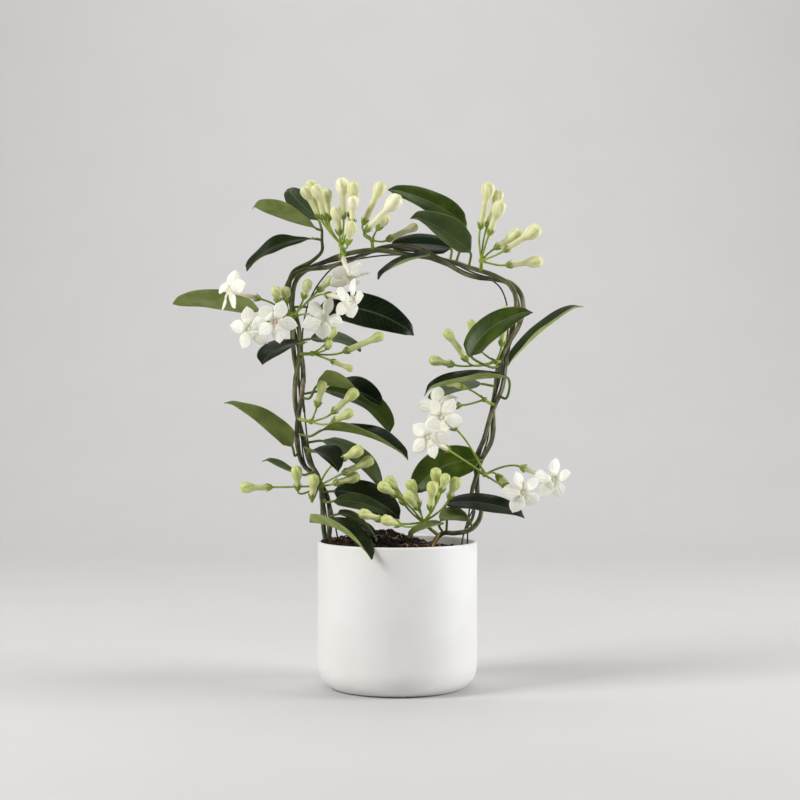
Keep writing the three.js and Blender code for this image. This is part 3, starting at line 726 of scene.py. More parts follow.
@dataclass(frozen=True)
class GreenStalk(Finish):
    """Fresh green of the stalks, cups and sepals of the flowers."""

    name: str = "green_stalk"
    slot: str = "stem"

    def dress(self, wires: Wiring) -> dict[str, object]:
        """Bright green with olive clouds, and darker and browner at the sepals' points.

        Args:
            wires: The material's wiring.

        Returns:
            What goes into the shader's sockets, by name.
        """
        colour, grain = self.mottle(wires, paint(150, 170, 56), paint(116, 140, 46), 130.0)
        colour = wires.mix(wires.maths("MULTIPLY", wires.mark("point"), 0.5), colour, paint(88, 104, 44))
        return {
            "Base Color": colour,
            "Roughness": wires.slope(grain, 0.2, 0.8, 0.42, 0.58),
            "Normal": wires.bump(grain, 0.00012, 0.6),
            "Specular IOR Level": 0.45,
        }


@dataclass(frozen=True)
class BudSkin(Finish):
    """Waxy closed buds: pale green when young, cream when ripe, with furrows that are greener in their own
    colour and darkened with painted shade.
    """

    name: str = "bud_skin"
    slot: str = "bud"

    def dress(self, wires: Wiring) -> dict[str, object]:
        """Colour by the share of the bud's length, its furrows and its ripeness.

        Args:
            wires: The material's wiring.

        Returns:
            What goes into the shader's sockets, by name.
        """
        share, furrow, ripe = wires.mark("share"), wires.mark("furrow"), wires.mark("ripe")
        head, grain = self.mottle(wires, paint(212, 216, 142), paint(196, 203, 124), 150.0)
        head = wires.mix(ripe, head, paint(250, 243, 212))
        tube, _ = self.mottle(wires, paint(210, 212, 150), paint(188, 196, 122), 120.0)
        tube = wires.mix(wires.maths("MULTIPLY", ripe, 0.7), tube, paint(240, 234, 202))
        colour = wires.mix(wires.slope(share, 0.45, 0.7), tube, head)
        colour = wires.mix(wires.slope(share, 0.0, 0.22, 0.55, 0.0), colour, paint(158, 178, 84))
        # The furrows are mixed towards a darker green: partly the furrows' own green, partly painted shade in
        # the grooves.
        colour = wires.mix(wires.maths("MULTIPLY", furrow, 0.5), colour, paint(164, 176, 96))
        colour = wires.mix(wires.slope(share, 0.9, 1.0, 0.0, 0.5), colour, paint(176, 196, 100))
        return {
            "Base Color": colour,
            "Roughness": wires.slope(grain, 0.2, 0.8, 0.4, 0.5),
            "Normal": wires.bump(grain, 0.0001, 0.5),
            "Subsurface Weight": 0.25, "Subsurface Radius": (0.8, 1.0, 0.35), "Subsurface Scale": 0.003,
            "Specular IOR Level": 0.4,
        }


@dataclass(frozen=True)
class PetalWax(Finish):
    """Waxy white petals, with a throat tinted and darkened by painted shade, and a pinkish-brown foot to the
    tube.
    """

    name: str = "petal_wax"
    slot: str = "petal"

    def dress(self, wires: Wiring) -> dict[str, object]:
        """White with faint lengthwise lines of painted shade, a painted greenish shade near the middle, painted
        shade over a tint deep in the throat, and a tint low on the tube.

        Args:
            wires: The material's wiring.

        Returns:
            What goes into the shader's sockets, by name.
        """
        white, grain = self.mottle(wires, paint(248, 246, 233), paint(241, 239, 223), 90.0)
        # Painted shade: faint grey lines down each lobe, laid over the grooves that the bump cuts.
        lines = wires.maths("PINGPONG", wires.maths("MULTIPLY", wires.mark("side"), 4.0), 0.5)
        streak_shade = wires.maths("MULTIPLY", wires.slope(lines, 0.0, 0.2, 1.0, 0.0), 0.06)
        colour = wires.mix(streak_shade, white, paint(214, 216, 198))
        # Painted shade: a greenish grey towards the foot of each lobe, near the flower's middle.
        colour = wires.mix(wires.slope(wires.mark("reach"), 0.0, 0.42, 0.36, 0.0), colour, paint(210, 216, 184))
        # The throat's colour is partly its own cream-to-pink tint and partly painted shade deep in the flower.
        depth = wires.mix(wires.mark("warm"), paint(222, 224, 196), paint(218, 196, 178))
        colour = wires.mix(wires.slope(wires.mark("reach"), 0.0, 0.13, 0.75, 0.0), colour, depth)
        colour = wires.mix(wires.mark("throat"), colour, depth)
        foot = wires.mix(wires.mark("warm"), paint(206, 206, 160), paint(198, 168, 138))
        colour = wires.mix(wires.mark("foot"), colour, foot)
        return {
            "Base Color": colour,
            "Roughness": wires.slope(grain, 0.2, 0.8, 0.42, 0.52),
            "Normal": wires.bump(streak_shade, -0.0004, 0.5, wires.bump(grain, 0.00008, 0.5)),
            "Subsurface Weight": 0.3, "Subsurface Radius": (1.0, 0.95, 0.7), "Subsurface Scale": 0.0025,
            "Specular IOR Level": 0.4, "Sheen Weight": 0.05,
        }


@dataclass(frozen=True)
class StudioPaper(Finish):
    """Pale grey paper of the studio floor."""

    name: str = "studio_paper"
    slot: str = ""
    level: float = 204.0

    def dress(self, wires: Wiring) -> dict[str, object]:
        """One pale grey with the faintest grain.

        Args:
            wires: The material's wiring.

        Returns:
            What goes into the shader's sockets, by name.
        """
        colour, _ = self.mottle(wires, paint(self.level, self.level - 1, self.level - 2),
                                paint(self.level - 1, self.level - 2, self.level - 3), 8.0)
        return {"Base Color": colour, "Roughness": 0.9, "Specular IOR Level": 0.1}


# Pot and soil

def turned(profile: Array, sides: int) -> Array:
    """A profile of (radius, height) turned about the pot's axis: (r cos a, r sin a, z)."""
    angle = np.linspace(0.0, 2 * np.pi, sides, endpoint=False)
    radius, height = profile[:, :1], profile[:, 1:]
    return np.stack([radius * np.cos(angle), radius * np.sin(angle), height + 0 * angle], axis=-1)


@dataclass
class Pot:
    """Round glazed pot with a straight wall and a large round at its foot.

    Attributes:
        radius: Its radius, in millimetres, as are all its sizes.
        height: How tall it is.
        wall: How thick its wall is.
        foot_radius: Where its flat base ends.
        foot_rise: How high the round at its foot goes.
        floor: How thick its floor is.
        sides: How many points go round it.
    """

    radius: float = 70.0
    height: float = 128.0
    wall: float = 3.0
    foot_radius: float = 54.0
    foot_rise: float = 22.0
    floor: float = 5.0
    sides: int = 180

    def profile(self) -> Array:
        """The outline from the middle of the base, up outside, over the lip and down inside to the middle.

        The foot is a quarter of an ellipse, (foot + b sin a, rise (1 - cos a)), and the lip half a circle.
        """
        quarter = np.linspace(0.0, np.pi / 2, 20)
        bulge = self.radius - self.foot_radius
        base = np.array([[0.4, 0.0], [self.foot_radius * 0.5, 0.0], [self.foot_radius - 0.6, 0.0]])
        foot = np.stack([self.foot_radius + bulge * np.sin(quarter), self.foot_rise * (1 - np.cos(quarter))], 1)
        straight = np.linspace(self.foot_rise + 4, self.height - self.wall / 2 - 2, 12)
        outside = np.stack([np.full(12, self.radius), straight], 1)
        over = np.linspace(0.0, np.pi, 13)
        half = self.wall / 2
        lip = np.stack([self.radius - half + half * np.cos(over), self.height - half + half * np.sin(over)], 1)
        inner = self.radius - self.wall
        inside = np.array([
            [inner, self.height - 6], [inner, self.height - 30], [inner, self.foot_rise + self.floor],
            [inner - 6, self.floor + 4], [self.foot_radius - 2, self.floor], [0.4, self.floor],
        ])
        return np.vstack([base, foot, outside, lip, inside])

    def build(self) -> None:
        """Makes the pot's one closed shell."""
        shell = Shell()
        shell.add(turned(self.profile(), self.sides))
        shell.build("pot_glazed", SatinGlaze(), ("pot",))


@dataclass
class Soil:
    """Potting soil mounded left of the middle, with crumbs, bark bits, roots and a straw.

    Attributes:
        level: The height of its edge, in millimetres.
        mound: How much higher its mound is.
        mound_x: Where the mound is from left to right.
        mound_spread: How wide the mound is.
        slope: How much it rises from left to right, as a share.
        radius: Its radius under the rim.
        bumps: The height and the size of each kind of bump on it.
        chips: How many loose bits lie on it.
        roots: How many fine roots show.
    """

    level: float = 122.0
    mound: float = 14.0
    mound_x: float = -12.0
    mound_spread: float = 26.0
    slope: float = -0.06
    radius: float = 66.8
    bumps: tuple[tuple[float, float], ...] = ((1.2, 9.0), (1.0, 3.5), (0.5, 1.4))
    chips: int = 620
    roots: int = 54

    def height(self, x: Array, y: Array) -> Array:
        """The surface: level + mound exp(-d^2 / 2 s^2) + slope x + low waves + bumps of three sizes.

        Args:
            x: Where the points are from left to right.
            y: Where they are from front to back.

        Returns:
            The height of the surface at each.
        """
        hill = self.mound * np.exp(-((x - self.mound_x) ** 2 + y ** 2) / (2 * self.mound_spread ** 2))
        waves = 0.7 * (np.sin(x * 0.55 + 1) * np.cos(y * 0.6) + np.sin(x * 0.21 - y * 0.33))
        bumps = sum(high * lattice(x, y, size, seed) for seed, (high, size) in enumerate(self.bumps, 1))
        return self.level + hill + self.slope * x + waves + bumps

    def surface(self) -> Array:
        """The whole lump: a flat underside, a side against the wall and the rough top."""
        angle = np.linspace(0.0, 2 * np.pi, 220, endpoint=False)
        below = np.array([[0.5, 5.6], [51.0, 5.6], [60.0, 9.6], [self.radius, 28.0], [self.radius, 100.0]])
        radii = self.radius * np.sin(np.linspace(np.pi / 2, 0.006, 100))
        x, y = radii[:, None] * np.cos(angle), radii[:, None] * np.sin(angle)
        return np.concatenate([turned(below, 220), np.stack([x, y, self.height(x, y)], axis=-1)])

    def spots(self, count: int, chance: np.random.Generator, edge: float) -> tuple[Array, Array]:
        """Places spread evenly over a disc.

        Args:
            count: How many.
            chance: What picks them.
            edge: The disc's radius, in millimetres.

        Returns:
            Where they are from left to right, and from front to back.
        """
        radius = edge * np.sqrt(chance.uniform(0, 1, count))
        angle = chance.uniform(0, 2 * np.pi, count)
        return radius * np.cos(angle), radius * np.sin(angle)

    def scatter(self) -> Shell:
        """Loose bits, each a rough bead of 4 rings by 6 points, stretched and turned by chance.

        Ring i has the height cos(a_i) and the radius sin(a_i), each point pushed in or out by up to a third.
        """
        chance = np.random.default_rng(11)
        shell = Shell(("tone",))
        x, y = self.spots(self.chips, chance, self.radius - 3.0)
        z = self.height(x, y)
        rise = np.linspace(0.35, np.pi - 0.35, 4)[:, None]
        turn = np.linspace(0.0, 2 * np.pi, 6, endpoint=False)[None]
        bead = np.stack([np.sin(rise) * np.cos(turn), np.sin(rise) * np.sin(turn), np.cos(rise) + 0 * turn], -1)
        sizes = chance.gamma(2.2, 0.55, self.chips) + 0.5
        sizes = np.minimum(sizes, 3.4)
        for number in range(self.chips):
            rough = bead * chance.uniform(0.66, 1.25, (4, 6, 1))
            stretch = np.array([1.0, chance.uniform(0.45, 0.9), chance.uniform(0.3, 0.7)]) * sizes[number]
            lean, swing = chance.normal(0, 0.35, 2), chance.uniform(0, 2 * np.pi)
            turned_x = np.array([math.cos(swing), math.sin(swing), lean[0]])
            axis_x = turned_x / np.linalg.norm(turned_x)
            axis_z = unit(np.cross(axis_x, np.cross([lean[1] * 0.5, 0.1, 1.0], axis_x)))
            axis_y = np.cross(axis_z, axis_x)
            body = (rough * stretch) @ np.stack([axis_x, axis_y, axis_z])
            place = np.array([x[number], y[number], z[number] + stretch[2] * 0.35])
            shell.add(body + place, tone=float(chance.uniform()))
        return shell

    def root_tubes(self) -> Shell:
        """Fine roots that lie in curls on the surface, and one straw that leans on the mound.

        A root is a spline through five spots, each a step and a turn from the last, up to 1.6 mm above the
        surface.
        """
        chance = np.random.default_rng(5)
        shell = Shell(("tone",))
        x, y = self.spots(self.roots, chance, self.radius - 16.0)
        for number in range(self.roots):
            heading = chance.uniform(0, 2 * np.pi) + np.cumsum(chance.normal(0, 0.7, 5))
            step = chance.uniform(2.0, 4.5)
            across = x[number] + np.cumsum(np.cos(heading)) * step
            deep = y[number] + np.cumsum(np.sin(heading)) * step
            spots = np.stack([across, deep, self.height(across, deep) + chance.uniform(0.3, 1.6, 5)], axis=1)
            path = spline(spots, 26)
            path[:, 2] = np.maximum(path[:, 2], self.height(path[:, 0], path[:, 1]) + 0.1)
            thick = chance.uniform(0.26, 0.56)
            shell.add(tube(path, thick * np.linspace(1.0, 0.35, 26), 6), tone=float(chance.uniform(0, 0.25)))
        straw = [(36.5, -30.0, 137.0), (34.0, -32.0, 133.0), (31.0, -34.5, 128.5), (28.5, -37.0, 121.5)]
        shell.add(tube(spline(straw, 20), np.linspace(0.7, 0.85, 20), 8), tone=0.9)
        return shell

    def build(self) -> None:
        """Makes the soil, the loose bits and the roots."""
        lump = Shell()
        lump.add(self.surface())
        lump.build("soil_lump", PottingSoil(), ("soil",))
        self.scatter().build("soil_crumbs", Chips(), ("soil",))
        self.root_tubes().build("soil_roots", RootSkin(), ("soil",))


# Hoops and twining stems

BUNDLE_ROUTE = [
    (-57, 0, 106), (-60, 0, 128), (-62, 0, 146), (-65, 0, 164), (-72, 0, 183), (-81, 0, 196),
    (-84, 0, 216), (-86, 0, 252), (-87, 0, 290), (-90, 0, 313), (-94, 0, 332), (-95, 0, 348),
    (-91, 0, 360), (-80, 0, 368), (-62, 0, 372), (-40, 0, 377), (-15, 0, 382), (5, 0, 383),
    (24, 0, 381), (45, 0, 374), (65, 0, 364), (86, 0, 357), (98, 0, 352), (105, 0, 343),
    (107, 0, 331), (105, 0, 316), (99, 0, 300), (93, 0, 282), (88, 0, 262), (82, 0, 244),
    (79, 0, 216), (73, 0, 199), (71, 0, 181), (69, 0, 168), (70, -1, 153), (63, -5, 142),
    (50, -6, 137), (40, -6, 135), (34, -6, 126), (33, -6, 106),
]

HOOP_FRONT_ROUTE = BUNDLE_ROUTE[:33] + [
    (69, 0, 170), (68, 2.5, 163), (67, 5.5, 156), (62, 7, 145), (57, 7, 126), (56, 7, 104),
]

HOOP_BACK_ROUTE = [
    (-50, 9, 104), (-53, 9, 130), (-61, 9, 165), (-76, 9, 200), (-82, 9, 240), (-84, 9, 290),
    (-83, 9, 318), (-77, 9, 341), (-66, 9, 359), (-54, 9, 370), (-15, 9, 379), (20, 9, 378),
    (60, 9, 364), (82, 9, 358), (92, 9, 349), (98, 9, 326), (95, 9, 296), (87, 9, 262),
    (77, 9, 220), (68, 9, 180), (63, 9, 150), (62, 9, 128), (62, 9, 104),
]


def round_marks(rings: int, sides: int, step: float) -> dict[str, Array]:
    """The marks that the fibres need.

    Args:
        rings: How many rings the pipe has.
        sides: How many points go round it.
        step: How far apart its rings are, in millimetres.

    Returns:
        The millimetres along it, and the cosine and sine of the angle round it.
    """
    angle = np.linspace(0.0, 2 * np.pi, sides, endpoint=False)
    return {
        "along": np.arange(rings) * step,
        "cosine": np.broadcast_to(np.cos(angle), (rings, sides)),
        "sine": np.broadcast_to(np.sin(angle), (rings, sides)),
    }


@dataclass
class Hoops:
    """Two coated wires bent to one arch and pushed into the soil.

    Attributes:
        radius: The wire's radius, in millimetres.
        rings: How many rings each wire has.
    """

    radius: float = 0.7
    rings: int = 620

    def build(self) -> None:
        """Makes each wire as a round pipe along its route."""
        for name, route in (("hoop_front", HOOP_FRONT_ROUTE), ("hoop_back", HOOP_BACK_ROUTE)):
            path = spline(route, self.rings)
            step = float(np.linalg.norm(path[1] - path[0]))
            shell = Shell(("along", "cosine", "sine"))
            shell.add(tube(path, np.full(self.rings, self.radius), 12), **round_marks(self.rings, 12, step))
            shell.build(name + "_wire", CoatedWire(), (name,))


@dataclass(frozen=True)
class StemRun:
    """One stem: where on the bundle it starts and ends, and how it is turned.

    Attributes:
        name: The node that it stands for.
        start: The share of the bundle's length at which it starts.
        end: The share at which it leaves the bundle or stops.
        phase: Its turn round the hoop at the start, in degrees.
        green: How young it is, from 0 to 1, at its start and its end.
        shoot: The points that it passes after it leaves the bundle.
    """

    name: str
    start: float
    end: float
    phase: float
    green: tuple[float, float]
    shoot: tuple[Point, ...] = ()


@dataclass
class Stems:
    """Three stems that wind round the hoop and each other.

    Attributes:
        radius: A stem's radius, in millimetres.
        reach: How far a stem's middle stays from the bundle's.
        swell: How much further it stands where the twist is loose.
        pitch: The length of one turn.
        taper: How long the stretch is over which a stem narrows to its tip.
        node_gap: How far apart its nodes are.
        ring_gap: How far apart its rings are, about.
        sides: How many points go round a stem.
        runs: The stems.
    """

    radius: float = 2.15
    reach: float = 3.6
    swell: float = 0.4
    pitch: float = 120.0
    taper: float = 62.0
    node_gap: float = 55.0
    ring_gap: float = 1.3
    sides: int = 18
    runs: tuple[StemRun, ...] = (
        StemRun("stem_left", 0.0, 0.93, 110.0, (0.05, 0.55)),
        StemRun("stem_right", 1.0, 0.19, 230.0, (0.15, 0.8)),
        StemRun("stem_shoot", 0.0, 0.38, 350.0, (0.35, 1.0), ((-66, -6, 382), (-66, -6, 391), (-66, -5, 400))),
    )
    centres: list[Array] = field(default_factory=list)
    radii: list[Array] = field(default_factory=list)

    def path(self, run: StemRun) -> Array:
        """A stem's middle line.

        At share s of the bundle's length L the turn is phase + 2 pi s L / pitch, and the stem stands
        reach + swell sin(3 pi s)^2 from the bundle's middle at that turn between depth and outward. A shoot
        leaves the last wound points on a spline.

        Args:
            run: The stem.

        Returns:
            The line's points.
        """
        dense = spline(BUNDLE_ROUTE, 3000)
        length = float(np.linalg.norm(np.diff(dense, axis=0), axis=1).sum())
        count = max(int(abs(run.end - run.start) * length / self.ring_gap), 8)
        share = np.linspace(run.start, run.end, count)
        whole = np.linspace(0, 1, 3000)
        spot = np.stack([np.interp(share, whole, dense[:, axis]) for axis in range(3)], axis=1)
        slopes = unit(np.gradient(dense, axis=0))
        along = unit(np.stack([np.interp(share, whole, slopes[:, axis]) for axis in range(3)], axis=1))
        depth = np.array([0.0, 1.0, 0.0])
        outward = unit(np.cross(along, depth))
        turn = math.radians(run.phase) + share * length / self.pitch * 2 * np.pi
        reach = self.reach + self.swell * np.sin(3 * np.pi * share) ** 2
        wound = spot + (np.cos(turn) * reach)[:, None] * depth + (np.sin(turn) * reach)[:, None] * outward
        if not run.shoot:
            return wound
        joined = spline(np.vstack([wound[-40::13], np.array(run.shoot, float)]), 60)
        return np.vstack([wound[:-40], joined])

    def thickness(self, path: Array) -> Array:
        """The radius along a stem, narrower towards the tip and with a low swelling at each node.

        It is the radius times (0.97 + 0.13 exp(-d^2 / 14)) at d millimetres from a node, and over the taper
        it goes down to 0.55 of that.

        Args:
            path: The stem's middle line.

        Returns:
            The radius at each point.
        """
        run = np.concatenate([[0.0], np.cumsum(np.linalg.norm(np.diff(path, axis=0), axis=1))])
        left = run[-1] - run
        taper = np.minimum(1.0, 0.55 + 0.45 * left / self.taper)
        node = np.exp(-((run + 20.0) % self.node_gap - self.node_gap / 2) ** 2 / 14.0)
        return self.radius * taper * (0.97 + 0.13 * node)

    def lay_out(self) -> None:
        """Works out all the stems' lines and radii, which leaves and umbels need."""
        self.centres = [self.path(run) for run in self.runs]
        self.radii = [self.thickness(path) for path in self.centres]

    def seat(self, target: Array) -> Array:
        """Where a stalk leaves the nearest stem: half a millimetre under its bark.

        Args:
            target: The point that the stalk heads for.

        Returns:
            The place.
        """
        spots, radii = np.vstack(self.centres), np.concatenate(self.radii)
        near = int(np.linalg.norm(spots - target, axis=1).argmin())
        outward = unit(target - spots[near])
        return spots[near] + outward * (radii[near] - 0.5)

    def build(self) -> None:
        """Makes each stem as a ribbed pipe."""
        for run, path, radii in zip(self.runs, self.centres, self.radii):
            rings = len(path)
            step = float(np.linalg.norm(np.diff(path, axis=0), axis=1).mean())
            shell = Shell(("along", "cosine", "sine", "green"))
            share = np.linspace(0.0, 1.0, rings)
            patch = 0.22 * lattice(np.arange(rings) * step, np.zeros(rings), 24.0, 7)
            green = np.clip(run.green[0] + (run.green[1] - run.green[0]) * share + patch, 0.0, 1.0)
            marks = round_marks(rings, self.sides, step)
            shell.add(tube(path, radii, self.sides, 5, 0.05, 0.03), green=green, **marks)
            shell.build(run.name + "_bark", StemBark(), (run.name,))


# Leaves

@dataclass(frozen=True)
class LeafSpec:
    """One leaf's place and shape, in millimetres.

    Attributes:
        name: The node that it stands for.
        base: Where the blade starts.
        tip: Where it ends.
        arch: How far its middle is bowed off the straight line.
        width: The blade's width.
        face: The way its upper side looks.
        fold: How far its halves are folded up, in degrees.
        petiole: Points that its stalk passes on its way to the blade.
        tip_face: The way its upper side looks at the tip, where the blade is twisted.
        tone: From 0, old and dark, over 0.5, grey, which is a painted sheen, and 1, young and olive, to 1.5,
            pale;
        set leaf by leaf partly for age and partly to paint the light or shade that falls on the leaf.
        hook: How far its point curls away from its upper side.
        wave: How high its margins wave.
        belly: The power that moves its widest place, towards the stalk when it is lower.
        pale: How much of the underside's pale colour shows, as a share; below 1 the underside is darkened with
        painted shade.
    """

    name: str
    base: Point
    tip: Point
    arch: Point
    width: float
    face: Point
    fold: float
    petiole: tuple[Point, ...] = ()
    tip_face: Point | None = None
    tone: float = 0.0
    hook: float = 2.0
    wave: float = 0.5
    belly: float = 0.88
    pale: float = 1.0


LEAVES = (
    LeafSpec("leaf_crown_pale", (-70, -5, 401), (-126, -20, 422), (-7, 0, 9), 25, (0.25, 0.5, 0.85), 10, hook=7,
             wave=0.4, belly=1.12),
    LeafSpec("leaf_crown_small", (-69, 9, 410), (-99, 24, 440), (-4, 0, 2), 22, (-0.5, -0.35, 0.8), 14,
             tone=0.22),
    LeafSpec("leaf_crown_dark", (-70, -12, 392), (-130, -30, 363), (-12, 0, 14), 25, (-0.3, -0.5, 0.8), 12,
             tone=0.15, hook=1, wave=1.8, belly=1.05),
    LeafSpec("leaf_far_left", (-120, 15, 330), (-200, 20, 338), (0, 0, 12), 33, (0, 0.5, 0.85), 8, hook=1,
             pale=0.85),
    LeafSpec("leaf_under_blooms", (-80, -16, 302), (-115, -55, 283), (-4, -4, 8), 34, (-0.3, -0.5, 0.8), 14,
             wave=0.8),
    LeafSpec("leaf_upper_dark", (-69, -10, 333), (15, -15, 309), (4, 0, 16), 32, (0.2, -0.9, 0.35), 6, hook=4),
    LeafSpec("leaf_narrow", (-77, -3, 305), (-31, 4, 296), (2, 0, 9), 22, (0, -0.55, 0.85), 14, tone=0.35,
             hook=3, wave=1),
    LeafSpec("leaf_middle_high", (-71, -10, 265), (-13, -12, 247), (6, 0, 9), 36, (0.1, 0.55, 0.8), 36,
             petiole=((-77, -6, 253),), tip_face=(0.2, -1, 0.4), belly=0.62),
    LeafSpec("leaf_middle_olive", (-67, 10, 260), (-6, 6, 223), (16, 0, 12), 36, (0.35, -0.5, 0.75), 24, tone=1,
             wave=0.6),
    LeafSpec("leaf_middle_folded", (-67, -13, 226), (10, -25, 201), (6, 0, 13), 33, (0.2, 0.12, 1), 34,
             petiole=((-75, -10, 220),), tip_face=(0.25, -0.42, 0.9), tone=0.05),
    LeafSpec("leaf_middle_arched", (-68, 8, 216), (-14, 2, 173), (14, 0, 12), 28, (0.6, -0.5, 0.6), 12,
             tone=0.85),
    LeafSpec("leaf_middle_low", (-78, -10, 206), (-50, -50, 192), (2, 0, 10), 31, (0, -0.15, 1), 32, wave=0.7),
    LeafSpec("leaf_left", (-91, -8, 211), (-150, -15, 251), (6, 0, 5), 26, (-0.5, -0.32, 0.75), 24,
             petiole=((-90, -6, 203),), tone=1.45, hook=3, wave=0.6, belly=0.62),
    LeafSpec("leaf_left_narrow", (-81, -13, 186), (-116, -13, 201), (-2, 0, -3), 17, (0, -0.15, 1), 22,
             tone=0.6, hook=4, wave=1.2),
    LeafSpec("leaf_rim", (-77, -20, 146), (-21, -78, 119), (4, -4, 16), 34, (0.15, 0.08, 1), 36, tone=0.1,
             hook=0),
    LeafSpec("leaf_rim_dark", (-55, -8, 143), (-18, -30, 135), (0, 0, 8), 18, (0, -0.3, 0.95), 12),
    # Low tone and a darkened underside: painted shade, as this leaf lies in shadow.
    LeafSpec("leaf_rim_grey", (-52, -22, 153), (-16, -60, 133), (4, -2, 10), 20, (0.5, 0.4, 0.75), 12, tone=0.2,
             pale=0.25),
    LeafSpec("leaf_low_black", (-57, -8, 172), (2, -30, 150), (4, 2, 12), 33, (0.2, -0.75, 0.6), 8),
    LeafSpec("leaf_low_glossy", (-56, -36, 165), (-9, -47, 155), (2, 0, 7), 20, (0.1, -0.6, 0.8), 12,
             petiole=((-61, -22, 163),), tone=0.25),
    LeafSpec("leaf_right_broad", (74, -11, 199), (13, -16, 171), (-8, 0, 17), 35, (-0.1, -0.85, 0.5), 10,
             tone=1, hook=3),
    LeafSpec("leaf_right_low", (40, -18, 161), (111, -26, 152), (0, 0, 11), 27, (0, -0.5, 0.85), 10,
             petiole=((43, -15, 148),), hook=4),
    LeafSpec("leaf_small_front", (40, -33, 146), (9, -58, 137), (0, 0, 4), 17, (-0.2, -0.3, 0.9), 18,
             petiole=((36, -18, 143),), tone=1.5),
    LeafSpec("leaf_small_right", (61, -16, 151), (37, -37, 149), (0, 0, 4), 22, (-0.2, -0.7, 0.65), 12,
             tone=1.35, wave=0.6),
    LeafSpec("leaf_right_up", (62, -26, 288), (117, -24, 330), (-16, 0, 10), 31, (-0.5, -0.7, 0.5), 10,
             petiole=((81.5, -18, 280),), tone=0.95, hook=5, belly=0.75),
    LeafSpec("leaf_far_right", (97, 8, 282), (163, 10, 337), (-5, 0, 6), 26, (-0.5, -0.25, 0.85), 30, tone=0.3,
             hook=4),
    LeafSpec("leaf_right_level", (97, -20, 272), (22, -32, 260), (0, 0, 5), 30, (-0.1, -0.2, 1), 32,
             petiole=((95, -9, 253), (98, -13, 264)), hook=6, belly=1.1),
    LeafSpec("leaf_behind_blooms", (75, 14, 266), (26, 12, 252), (0, 0, 6), 26, (0, -0.4, 0.9), 10, tone=0.4),
    LeafSpec("leaf_top_high", (62, 8, 404), (-8, 5, 438), (6, 0, 9), 26, (-0.35, -0.65, 0.65), 10, tone=0.95),
    LeafSpec("leaf_top_folded", (65, -6, 380), (12, -14, 412), (-2, 0, 10), 32, (-0.3, -0.6, 0.7), 22, tone=0.6,
             hook=4, wave=0.7, belly=0.75),
    LeafSpec("leaf_top_back", (49, 20, 386), (-7, 21, 389), (0, 0, 5), 26, (0, -0.75, 0.65), 10),
    LeafSpec("leaf_top_hanging", (28, -10, 378), (-18, -25, 358), (0, 0, 6), 22, (-0.2, -0.3, 1), 24, hook=3,
             wave=0.8),
)


